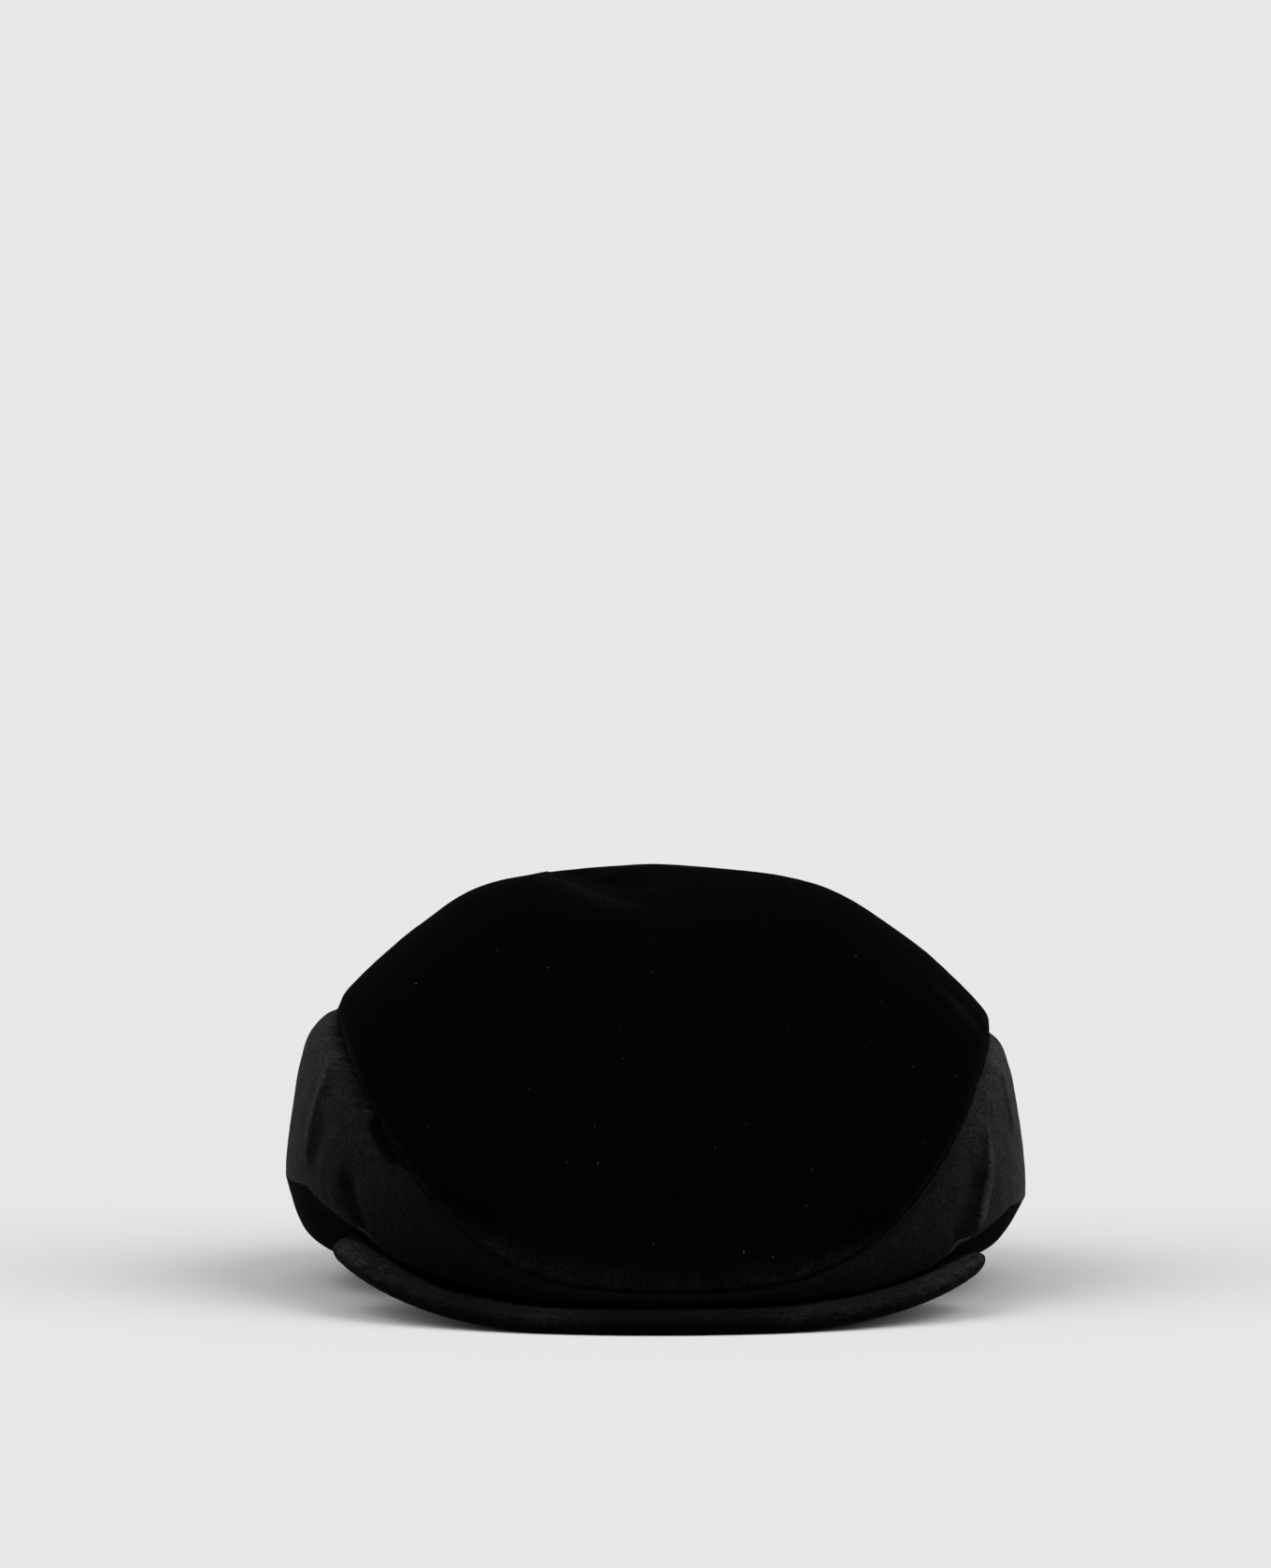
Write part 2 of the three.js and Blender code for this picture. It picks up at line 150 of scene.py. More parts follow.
FOLDS = {
    "left ridge": Fold(LEFT_RIDGE, 2.2, 1.7, Crest.CRISP),
    "left hollow": Fold(LEFT_HOLLOW, 3.2, -1.3),
    "left wedge": Fold(LEFT_WEDGE, 2.7, -2.4),
    "left wedge edge": Fold(WEDGE_EDGE, 1.6, 0.8, Crest.CRISP),
    "left crinkle": Fold(((-59.4, 4.75), (-58.0, 4.45), (-55.4, 4.12)), 1.2, 0.4),
    "left tuck": Fold(((-42, 3.5), (-58, 3.4), (-76, 3.45)), 6.0, -4.5),
    "right ridge": Fold(RIGHT_RIDGE, 1.7, 1.9, Crest.CRISP),
    "right hollow": Fold(RIGHT_HOLLOW, 4.4, -2.6),
    "right corner": Fold(((78, 6.5), (76, 5.9), (75, 5.4), (75.5, 4.9)), 2.4, 1.2, Crest.CRISP),
    "right tuck": Fold(((42, 3.5), (57, 3.4), (74, 3.45)), 5.5, -4.0),
    "crown dent": Fold(((-105, 10.5), (-60, 10.52), (-31, 10.6), (-5, 10.45)), 6.0, -2.2),
    "crown ridge": Fold(CROWN_RIDGE, 2.6, 1.5, Crest.CRISP),
    "right shoulder": Fold(((73.5, 8.7), (75.2, 8.3), (74.5, 7.9)), 2.6, 0.9),
    "left side": Fold(((-104, 6.5), (-108, 5.4), (-106, 4.3)), 7.0, -2.6),
    "right side": Fold(((113, 6.3), (109, 5.2), (110, 4.3)), 7.0, -2.3),
    "back left": Fold(((-152, 6.6), (-147, 5.4), (-149, 4.2)), 8.0, -2.8),
    "back right": Fold(((160, 6.4), (152, 5.3), (153, 4.2)), 7.0, -2.2),
    "back of the crown": Fold(((148, 9.2), (176, 9.45), (204, 9.3)), 9.0, -2.2),
    "left seam lip": Fold(((-60, 6.8), (-80, 6.72), (-104, 6.75)), 3.0, 1.3),
    "right seam lip": Fold(((68, 6.75), (88, 6.7), (110, 6.75)), 3.0, 0.9),
    "seam recess": Fold(RECESS, 1.1, -2.2),
}
# How much of a fold's length its depth takes to come up at each end.
FOLD_FADE = 0.28
# A crisp crest is rounded over this share of its width.
CREST_ROUNDING = 0.25

# The radius that the sides are unrolled at for their UV maps, in millimetres.
UNROLLED_RADIUS = 105.0


@dataclass(frozen=True)
class Strip:
    """Where a strip of turned-in cloth runs: degrees from the visor, levels, and squares both ways."""

    name: str
    angles: tuple[float, float]
    levels: tuple[float, float]
    columns: int
    rows: int


STRIPS = (
    Strip("top_seam_allowance", (-180.0, 180.0), (6.72, 7.42), 400, 8),
    Strip("front_seam_allowance", (-3.5, 3.5), (1.6, 6.95), 8, 90),
    Strip("back_seam_allowance", (176.5, 183.5), (1.6, 6.95), 8, 90),
)

# Painted sheen on the sides, lighter the further the cloth turns from the front: (degrees from the visor,
# value).
# The photo shows it black in front and grey at the sides. From about 90 degrees to the back it is a guess.
SIDE_SHEEN = (
    (-180, 0.03), (-135, 0.06), (-108, 0.28), (-88, 0.5), (-76, 0.42), (-70, 0.27), (-60, 0.15),
    (-54, 0.12), (-42, 0.05), (-30, 0.015), (15, 0.01), (28, 0.03), (48, 0.1), (56, 0.15),
    (62, 0.24), (70, 0.4), (80, 0.7), (90, 0.62), (108, 0.28), (135, 0.06), (180, 0.03),
)
# How light the visor's pile is drawn across it: (share of its half width, negative on the left, value).
# Patches of rubbing, with painted sheen rising towards the tips, where the visor turns from the front.
VISOR_RUBBING_AND_SHEEN = (
    (-1.0, 0.6), (-0.92, 0.45), (-0.85, 0.22), (-0.78, 0.15), (-0.66, 0.1),
    (-0.55, 0.05), (-0.43, 0.11), (-0.33, 0.16), (-0.2, 0.06), (-0.12, 0.02),
    (0.3, 0.04), (0.45, 0.16), (0.74, 0.18), (0.85, 0.5), (1.0, 0.66),
)


@dataclass(frozen=True)
class Rumple:
    """Smooth unevenness: its bumps' width, a seed for its own stretch of the noise, and its height."""

    size: float
    seed: float
    height: float = 1.0


SAG = (Rumple(46.0, 1.3, 0.9), Rumple(4.5, 7.7, 0.1))
CREPE = (Rumple(15.0, 5.2),)
PUCKERS = (Rumple(11.0, 3.7), Rumple(5.5, 9.1, 0.5))
WORN_LIP = (Rumple(9.0, 4.4, 0.35), Rumple(2.5, 8.8, 0.35))
STRANDS = (Rumple(1.5, 5.5, 1.3),)
SEAM_LINE = (Rumple(3.0, 6.3), Rumple(1.6, 2.9, 0.5))
VISOR_TOP = (Rumple(9.0, 2.2), Rumple(3.5, 6.6, 0.5))
VISOR_EDGE = (Rumple(5.0, 8.1), Rumple(2.2, 3.9))


def linear(hex_code: str) -> tuple[float, float, float, float]:
    """Turns an sRGB hex colour into Blender's linear values.

    Args:
        hex_code: six hex digits, with or without a leading #.

    Returns:
        Red, green, blue and an alpha of 1, all linear.
    """
    digits = hex_code.lstrip("#")
    channels = [int(digits[i : i + 2], 16) / 255 for i in (0, 2, 4)]
    red, green, blue = (c / 12.92 if c <= 0.04045 else ((c + 0.055) / 1.055) ** 2.4 for c in channels)
    return (red, green, blue, 1.0)


def smoothstep(value: np.ndarray, low: float, high: float) -> np.ndarray:
    """Eases from 0 at low to 1 at high.

    Args:
        value: the numbers to ease.
        low: where the result leaves 0.
        high: where it reaches 1.

    Returns:
        The eased numbers.
    """
    share = np.clip((value - low) / (high - low), 0.0, 1.0)
    return share * share * (3.0 - 2.0 * share)


def unit(vectors: np.ndarray) -> np.ndarray:
    """Scales vectors to length 1.

    Args:
        vectors: an array of vectors, one in each row.

    Returns:
        The same directions at length 1.
    """
    return vectors / np.maximum(np.linalg.norm(vectors, axis=-1, keepdims=True), TINY)


def rumple(points: np.ndarray, layers: tuple[Rumple, ...]) -> np.ndarray:
    """Adds up layers of smooth noise.

    Args:
        points: where the noise is read, in millimetres.
        layers: the layers.

    Returns:
        One value for each point.
    """
    total = np.zeros(len(points))
    for layer in layers:
        shifted = points / layer.size + layer.seed
        total += layer.height * np.array([noise.noise(Vector(point)) for point in shifted])
    return total


def degrees_round(angle: np.ndarray) -> np.ndarray:
    """Angles from the visor as degrees from -180 to 180."""
    return np.degrees(np.arctan2(np.sin(angle), np.cos(angle)))


@dataclass(frozen=True)
class Laid:
    """What a panel's grid is laid out to: a point, a place on the cloth and a lightness value for each grid
    point.

    points are millimetres and uvs metres. The lightness value says how light the pile is drawn, from 0 to 1,
    with painted sheen and painted shade as well as brushed places, and wall the share of its full thickness
    that the cloth has.
    """

    points: np.ndarray
    uvs: np.ndarray
    sheen_and_nap: np.ndarray
    wall: np.ndarray


@dataclass(frozen=True)
class VisorForm:
    """The visor's shape as heights over the floor plan, in millimetres.

    Fields that end in angle are degrees and those in share parts of 1. tilt_from and tilt_to are shares of
    the half width, and rise and lift_bend are exponents.
    """

    half_left: float = 95.5
    half_right: float = 97.8
    depth: float = 76.5
    widest_y: float = -58.5
    thickness: float = 4.5
    padding: float = 1.2
    rim_angle: float = 55.0
    flat_share: float = 0.3
    rise: float = 1.3
    lift_left: float = 17.2
    lift_right: float = 14.0
    lift_bend: float = 3.25
    tilt: float = 3.4
    tilt_from: float = 0.6
    tilt_to: float = 0.92
    sink: float = 0.5
    corner_angle: float = 78.0
    corner_share: float = 0.35
    gap: float = 0.6

    def half(self, x: np.ndarray) -> np.ndarray:
        """The visor's half width on each point's own side."""
        return np.where(x < 0, self.half_left, self.half_right)

    def share(self, plan: np.ndarray) -> np.ndarray:
        """How far plan points lie from the outer edge, 0, to the rim of the head opening, 1.

        Args:
            plan: points across and along the cap.

        Returns:
            The share at each point.
        """
        x, y = plan.T
        ahead = np.minimum(y - self.widest_y, 0.0) / self.depth
        outer = np.maximum(1.0 - np.hypot(x / self.half(x), ahead), 0.0)
        reach = OPENING_CENTRE_Y - RIM.front
        inner = np.maximum(np.hypot(x / RIM.right, (y - OPENING_CENTRE_Y) / reach) - 1.0, 0.0)
        return np.where(outer <= 0, 0.0, outer / np.maximum(outer + inner, TINY))

    def bottom(self, plan: np.ndarray) -> np.ndarray:
        """Height of the underside above the floor.

        Args:
            plan: points across and along the cap.

        Returns:
            The height at each point.
        """
        x = plan[:, 0]
        out = np.minimum(1.0, np.abs(x) / self.half(x))
        lift = np.where(x < 0, self.lift_left, self.lift_right)
        edge = np.maximum(0.0, lift * out**self.lift_bend - self.sink)
        side = np.minimum(1.0, np.abs(x) / RIM.right)
        rim_up = RIM.front_up + (RIM.right_up - RIM.front_up) * side**RIM.bend_right
        inner = np.maximum(edge, rim_up - self.gap - self.thickness - self.padding)
        share = self.share(plan)
        turned = np.where(x < 0, smoothstep(out, self.tilt_from, self.tilt_to), 0.0)
        tilt = self.tilt * turned * smoothstep(share, 0.0, self.flat_share)
        inward = np.maximum(0.0, share - self.flat_share) / (1.0 - self.flat_share)
        return edge + (inner - edge) * inward**self.rise + tilt

    def top(self, plan: np.ndarray) -> np.ndarray:
        """Height of the upper side above the floor, at plan points."""
        padded = smoothstep(self.share(plan), 0.0, self.flat_share)
        return self.bottom(plan) + self.thickness + self.padding * padded


@dataclass
class CrownForm:
    """The crown's surface, addressed by an angle from the visor in radians and a level counted in rings.

    In its methods angle and level are arrays of the same length. Fields that end in level or levels are
    levels, in angles or turn degrees, and in share, wall, worn, cover or shade parts of 1. Fields for how
    light the pile is drawn, with its painted sheen and shade, are values from 0 to 1. The rest are
    millimetres, apart from recess_steps, a count, and strand_slant, in radians for each millimetre. A pair
    says from where to where something grows or fades.
    """

    visor: VisorForm
    drape_angles: tuple[float, float] = (58.0, 70.0)
    softness: float = 1.0
    loose_levels: tuple[float, float] = (2.0, 3.2)
    side_crepe: float = 0.3
    top_crepe: float = 0.12
    seam_dip: float = 0.9
    seam_dip_width: float = 1.5
    upright_share: float = 0.45
    upright_level: float = 1.5
    pucker_depth: float = 0.45
    pucker_width: float = 9.0
    top_nap: float = 0.05
    lip_band: float = 0.78
    lip_worn: float = 0.8
    lip_reach: float = 1.7
    front_reach: float = 4.0
    front_angles: tuple[float, float] = (20.0, 42.0)
    ridge_sheen: float = 0.35
    hollow_least_share: float = 0.05
    hollow_share: float = 0.12
    toward_share: float = 0.8
    away_share: float = 0.2
    most_turn: float = 60.0
    turn_levels: tuple[float, float] = (4.0, 4.3)
    crest_sheen: float = 0.45
    crest_heights: tuple[float, float] = (0.75, 1.7)
    brow_sheen: float = 0.07
    brow_level: float = 4.06
    brow_levels: float = 0.05
    brow_angles: tuple[float, float] = (40.0, 60.0)
    recess_reach: tuple[float, float] = (0.3, 0.8)
    recess_steps: int = 40
    loose_wall: float = 0.6
    loose_wall_levels: tuple[float, float] = (2.0, 3.0)
    pressed_wall: float = 0.12
    pressed_reach: float = 6.0
    pressed_levels: float = 0.75
    ragged: float = 0.12
    frayed: float = 0.7
    fraying_angles: tuple[float, float] = (-90.0, -80.0)
    mending_angles: tuple[float, float] = (-58.0, -44.0)
    strand_cover: float = 0.55
    strand_shade: float = 0.95
    strand_length: float = 3.2
    strand_slant: float = 0.008
    paths: list[tuple[Fold, np.ndarray]] = field(default_factory=list)

    def __post_init__(self) -> None:
        """Places the folds' paths on the plain surface."""
        for fold in FOLDS.values():
            angles = np.radians([point[0] for point in fold.path])
            levels = np.array([float(point[1]) for point in fold.path])
            self.paths.append((fold, self.profile(angles, levels)))

    @staticmethod
    def ring_points(ring: Ring, angle: np.ndarray) -> np.ndarray:
        """Points of a ring, kept at or above the floor.

        Args:
            ring: the ring.
            angle: angles from the visor, in radians.

        Returns:
            A point in millimetres for each angle.
        """
        side, ahead = np.sin(angle), np.cos(angle)
        left, front = side < 0, ahead > 0
        reach = np.where(front, OPENING_CENTRE_Y - ring.front, ring.back - OPENING_CENTRE_Y)
        end_up = np.where(front, ring.front_up, ring.back_up)
        side_up = np.where(left, ring.left_up, ring.right_up)
        bend = np.where(left, ring.bend_left, ring.bend_right)
        height = end_up + (side_up - end_up) * np.minimum(1.0, np.abs(side) / ring.hold) ** bend
        x = np.where(left, ring.left, ring.right) * side
        return np.stack([x, OPENING_CENTRE_Y - reach * ahead, np.maximum(0.0, height)], -1)

    def stack(self, angle: np.ndarray) -> np.ndarray:
        """All the rings' points over each angle, with the apex last."""
        apex = np.broadcast_to(np.array(APEX), (len(angle), 3))
        return np.stack([*(self.ring_points(ring, angle) for ring in RINGS), apex])

    def profile(self, angle: np.ndarray, level: np.ndarray) -> np.ndarray:
        """The plain surface without folds: a cubic through the rings above and below.

        Args:
            angle: angles from the visor.
            level: their levels.

        Returns:
            A point in millimetres for each pair.
        """
        rings = np.concatenate([self.stack(angle), self.ring_points(RINGS[-1], angle + math.pi)[None]])
        lower = np.clip(np.floor(level).astype(int), 0, TOP_LEVEL - 1)
        at = np.arange(len(angle))
        before, start = rings[np.maximum(lower - 1, 0), at], rings[lower, at]
        end, after = rings[lower + 1, at], rings[lower + 2, at]
        roundness = np.array([ring.roundness for ring in RINGS] + [1.0])
        round_start, round_end = roundness[lower][:, None], roundness[lower + 1][:, None]
        chord = end - start
        leave = 0.5 * (end - before) * round_start + chord * (1 - round_start)
        arrive = 0.5 * (after - start) * round_end + chord * (1 - round_end)
        u = (level - lower)[:, None]
        return (
            start * (2 * u**3 - 3 * u**2 + 1)
            + leave * (u**3 - 2 * u**2 + u)
            + end * (3 * u**2 - 2 * u**3)
            + arrive * (u**3 - u**2)
        )

    @staticmethod
    def normals(surface: Surface, angle: np.ndarray, level: np.ndarray) -> np.ndarray:
        """Outward directions of a surface, from the slopes on both sides of each point.

        Args:
            surface: a function of angle and level.
            angle: angles from the visor.
            level: their levels.

        Returns:
            A unit vector for each pair.
        """
        turn, step = NORMAL_STEPS
        across = surface(angle + turn, level) - surface(angle - turn, level)
        here = surface(angle, level)
        above = unit(surface(angle, np.minimum(level + step, TOP_LEVEL)) - here)
        below = unit(here - surface(angle, np.maximum(level - step, 0.0)))
        result = unit(np.cross(across, above + below))
        result[level > TOP_LEVEL - step] = (0.0, 0.0, 1.0)
        return result

    @staticmethod
    def fold_depth(fold: Fold, path: np.ndarray, points: np.ndarray) -> np.ndarray:
        """How far one fold moves the cloth at some points.

        Args:
            fold: the fold.
            path: its path on the plain surface, in millimetres.
            points: the points to move.

        Returns:
            A distance along the normal for each point.
        """
        lengths = np.linalg.norm(np.diff(path, axis=0), axis=1)
        nearest = np.full(len(points), np.inf)
        along = np.zeros(len(points))
        passed = 0.0
        for start, end, length in zip(path[:-1], path[1:], lengths):
            share = np.clip((points - start) @ (end - start) / length**2, 0.0, 1.0)
            distance = np.linalg.norm(points - start - share[:, None] * (end - start), axis=1)
            closer = distance < nearest
            along = np.where(closer, (passed + share * length) / lengths.sum(), along)
            nearest = np.where(closer, distance, nearest)
            passed += length
        fade = smoothstep(np.minimum(along, 1.0 - along), 0.0, FOLD_FADE)
        if fold.crest is Crest.CRISP:
            rounding = CREST_ROUNDING * fold.width
            across = np.exp(-(np.hypot(nearest, rounding) - rounding) / fold.width)
        else:
            across = np.exp(-0.5 * (nearest / fold.width) ** 2)
        return fold.depth * fade * across

    def relief(self, points: np.ndarray, crests: tuple[Crest, ...] = tuple(Crest)) -> np.ndarray:
        """How far the folds with these crests move the cloth at points of the plain surface."""
        return sum(self.fold_depth(fold, path, points) for fold, path in self.paths if fold.crest in crests)

    def from_seam(self, angle: np.ndarray, level: np.ndarray) -> np.ndarray:
        """How far points of the plain surface lie from the top seam, in millimetres."""
        seam = self.profile(angle, np.full_like(level, SEAM_LEVEL))
        return np.linalg.norm(self.profile(angle, level) - seam, axis=1)

    def seam_relief(self, angle: np.ndarray, level: np.ndarray) -> np.ndarray:
        """The groove along each seam and the puckers that the stitching pulls beside it.

        Args:
            angle: angles from the visor.
            level: their levels.

        Returns:
            A distance along the normal for each pair.
        """
        away = self.from_seam(angle, level)
        has_upright = (level <= SEAM_LEVEL) & (level > self.upright_level)
        upright = np.where(has_upright, np.abs(self.profile(angle, level)[:, 0]), np.inf)
        groove = np.maximum(
            np.exp(-away / self.seam_dip_width), self.upright_share * np.exp(-upright / self.seam_dip_width)
        )
        wave = rumple(self.profile(angle, np.full_like(level, SEAM_LEVEL)), PUCKERS)
        pucker = self.pucker_depth * wave * np.exp(-((away / self.pucker_width) ** 2))
        return pucker - self.seam_dip * groove

    def top_sheen_and_nap_at(self, angle: np.ndarray, level: np.ndarray) -> np.ndarray:
        """How light the top's pile is drawn: a blotchy band along the seam, wider in front, and painted sheen
        on ridges.

        Args:
            angle: angles from the visor.
            level: their levels.

        Returns:
            A value from 0 to 1 for each pair.
        """
        points = self.profile(angle, level)
        in_front = 1.0 - smoothstep(np.abs(degrees_round(angle)), *self.front_angles)
        reach = self.lip_reach + self.front_reach * in_front
        worn = np.maximum(0.0, self.lip_worn + rumple(points, WORN_LIP))
        band = self.lip_band * worn * np.exp(-((self.from_seam(angle, level) / reach) ** 2))
        # Painted sheen on the folds' ridges.
        return np.clip(self.top_nap + band + self.ridge_sheen * np.maximum(0.0, self.relief(points)), 0.0, 1.0)

    def side_sheen_at(self, angle: np.ndarray, level: np.ndarray) -> np.ndarray:
        """How light the sides' pile is drawn: painted sheen, more the further the folded cloth turns from the
        front.

        Painted shade makes it less in the hollows and nothing in the recess, painted highlights make it more
        on crisp crests and just above the crease, and strands at the frayed seam break it.

        Args:
            angle: angles from the visor.
            level: their levels.

        Returns:
            A value from 0 to 1 for each pair.
        """
        points = self.profile(angle, level)
        signed = degrees_round(angle)
        # Painted sheen, lighter the further the folded cloth turns from the front.
        stops = np.array(SIDE_SHEEN)
        sheen_and_nap = np.interp(signed + self.turn_by_folds(angle, level), stops[:, 0], stops[:, 1])
        # Painted shade: less in the hollows of the folds.
        hollow = np.minimum(0.0, self.relief(points))
        sheen_and_nap = sheen_and_nap * np.maximum(self.hollow_least_share, 1.0 + self.hollow_share * hollow)
        # Painted highlight along the brow just above the crease, at the sides.
        brow = np.exp(-(((level - self.brow_level) / self.brow_levels) ** 2))
        sheen_and_nap = sheen_and_nap + self.brow_sheen * brow * smoothstep(np.abs(signed), *self.brow_angles)
        # Painted highlight on the crisp crests.
        sheen_and_nap = sheen_and_nap + self.crest_sheen * smoothstep(self.relief(points, (Crest.CRISP,)), *self.crest_heights)
        # Painted shade: nothing in the recess beside the left seam.
        sheen_and_nap = sheen_and_nap * smoothstep(self.recess_distance(points), *self.recess_reach)
        return np.clip(sheen_and_nap * (1.0 - self.strand_shade * self.strands(angle, level)), 0.0, 1.0)

    def strands(self, angle: np.ndarray, level: np.ndarray) -> np.ndarray:
        """How far strands of the frayed seam cover the cloth below it.

        Args:
            angle: angles from the visor.
            level: their levels.

        Returns:
            A share from 0 to 1 for each pair.
        """
        away = self.from_seam(angle, level)
        slanted = self.profile(angle + self.strand_slant * away, np.full_like(level, SEAM_LEVEL))
        cover = np.clip(self.strand_cover + rumple(slanted, STRANDS), 0.0, 1.0)
        return cover * np.exp(-away / self.strand_length) * self.frayed_share(angle)

    def frayed_share(self, angle: np.ndarray) -> np.ndarray:
        """How far the top seam is frayed: 1 beside the left folds and 0 elsewhere."""
        signed = degrees_round(angle)
        return smoothstep(signed, *self.fraying_angles) * (1.0 - smoothstep(signed, *self.mending_angles))

    def folded(self, angle: np.ndarray, level: np.ndarray) -> np.ndarray:
        """The plain surface with its folds only, as a point in millimetres for each pair."""
        points = self.profile(angle, level)
        return points + self.normals(self.profile, angle, level) * self.relief(points)[:, None]

    def turn_by_folds(self, angle: np.ndarray, level: np.ndarray) -> np.ndarray:
        """How far the folds turn the cloth round towards the visor or away from it.

        Args:
            angle: angles from the visor.
            level: their levels.

        Returns:
            Degrees to add to the angle for each pair.
        """
        surfaces = (self.folded, self.profile)
        directions = [self.normals(surface, angle, level) for surface in surfaces]
        bent, plain = (np.arctan2(direction[:, 0], -direction[:, 1]) for direction in directions)
        turn = degrees_round(bent - plain)
        share = np.where(turn * np.sin(angle) < 0, self.toward_share, self.away_share)
        return share * np.clip(turn, -self.most_turn, self.most_turn) * smoothstep(level, *self.turn_levels)

    def recess_distance(self, points: np.ndarray) -> np.ndarray:
        """How far points of the plain surface lie from the recess beside the left seam, drawn dark in painted
        shade.

        Args:
            points: the points, in millimetres.

        Returns:
            A distance in millimetres for each point.
        """
        steps = np.linspace(0.0, 1.0, self.recess_steps)
        stops = np.linspace(0.0, 1.0, len(RECESS))
        angle, level = (np.interp(steps, stops, column) for column in zip(*RECESS))
        path = self.profile(np.radians(angle), level)
        return np.min(np.linalg.norm(points[:, None] - path[None], axis=2), axis=1)

    def wall_share(self, angle: np.ndarray, level: np.ndarray) -> np.ndarray:
        """The share of its thickness that the cloth has: full at the hem, thin at the crease and the seam.

        Args:
            angle: angles from the visor.
            level: their levels.

        Returns:
            A share from 0 to 1 for each pair.
        """
        loose = 1.0 - (1.0 - self.loose_wall) * smoothstep(level, *self.loose_wall_levels)
        at_seam = np.exp(-((self.from_seam(angle, level) / self.pressed_reach) ** 2))
        at_crease = np.exp(-(((level - CREASE_LEVEL) / self.pressed_levels) ** 2))
        return loose + (self.pressed_wall - loose) * np.maximum(at_seam, at_crease)

    def length_up(self, angle: np.ndarray, level: np.ndarray) -> np.ndarray:
        """How far it is along the cloth from the top of the hem up to a level.

        Args:
            angle: angles from the visor.
            level: their levels.

        Returns:
            A distance in millimetres for each pair.
        """
        steps = np.linalg.norm(np.diff(self.stack(angle), axis=0), axis=2)
        passed = np.concatenate([np.zeros((1, len(angle))), np.cumsum(steps, axis=0)])
        lower = np.clip(np.floor(level).astype(int), 0, TOP_LEVEL - 1)
        at = np.arange(len(angle))
        return passed[lower, at] + (level - lower) * steps[lower, at]

    def unrolled(self, angle: np.ndarray, level: np.ndarray) -> np.ndarray:
        """Places on the sides' cloth laid out flat, in metres."""
        return np.column_stack([angle * UNROLLED_RADIUS, self.length_up(angle, level)]) * MM

    def rest_on_visor(self, points: np.ndarray, angle: np.ndarray) -> np.ndarray:
        """Lifts the cloth clear of the visor's top, and lets it drop past the visor's ends.

        Args:
            points: points in millimetres.
            angle: their angles from the visor, in radians.

        Returns:
            The lifted points, none of them below the floor.
        """
        weight = 1.0 - smoothstep(np.abs(degrees_round(angle)), *self.drape_angles)
        top = self.visor.top(points[:, :2]) + self.visor.gap
        above = points[:, 2] - top
        lifted = top + 0.5 * (above + np.hypot(above, self.softness))
        height = points[:, 2] + (lifted - points[:, 2]) * weight
        return np.column_stack([points[:, :2], np.maximum(0.0, height)])

    def outer(self, angle: np.ndarray, level: np.ndarray) -> np.ndarray:
        """The outside of the cloth with its folds, seams and unevenness.

        Args:
            angle: angles from the visor.
            level: their levels.

        Returns:
            A point in millimetres for each pair.
        """
        points = self.profile(angle, level)
        crepe = np.where(level > SEAM_LEVEL, self.top_crepe, self.side_crepe) * rumple(points, CREPE)
        loose = smoothstep(level, *self.loose_levels) * (rumple(points, SAG) + crepe)
        move = self.relief(points) + self.seam_relief(angle, level) + loose
        moved = points + self.normals(self.profile, angle, level) * move[:, None]
        return self.rest_on_visor(moved, angle)

    def level_beside_seam(self, angle: np.ndarray, direction: int, gap: float) -> np.ndarray:
        """The level half a gap above or below the top seam, whose line is ragged and frayed at the left.

        Args:
            angle: angles from the visor, in radians.
            direction: 1 above the seam, -1 below it.
            gap: the gap between the panels, in millimetres.

        Returns:
            A level for each angle.
        """
        seam = np.full_like(angle, SEAM_LEVEL)
        here = self.profile(angle, seam)
        reach = np.linalg.norm(self.profile(angle, seam + LEVEL_STEP * direction) - here, axis=1)
        ragged = self.ragged + (self.frayed - self.ragged) * self.frayed_share(angle)
        away = 0.5 * gap * direction + ragged * rumple(here, SEAM_LINE)
        return SEAM_LEVEL + LEVEL_STEP * away / reach


def add_node(tree: bpy.types.NodeTree, kind: str, inputs: dict, **settings: object) -> bpy.types.Node:
    """Adds a node with its settings, and its inputs as constants or links.

    Args:
        tree: the node tree.
        kind: the node's type.
        inputs: a value or an output socket for each input, by name or index.
        settings: the node's own properties.

    Returns:
        The new node.
    """
    node = tree.nodes.new(kind)
    for name, value in settings.items():
        setattr(node, name, value)
    for name, value in inputs.items():
        if isinstance(value, bpy.types.NodeSocket):
            tree.links.new(value, node.inputs[name])
        else:
            node.inputs[name].default_value = value
    return node


def empty_tree(owner: bpy.types.Material | bpy.types.World) -> bpy.types.NodeTree:
    """Turns a material's or world's nodes on and removes what they start with.

    Args:
        owner: the material or world.

    Returns:
        Its empty node tree.
    """
    owner.use_nodes = True
    owner.node_tree.nodes.clear()
    return owner.node_tree


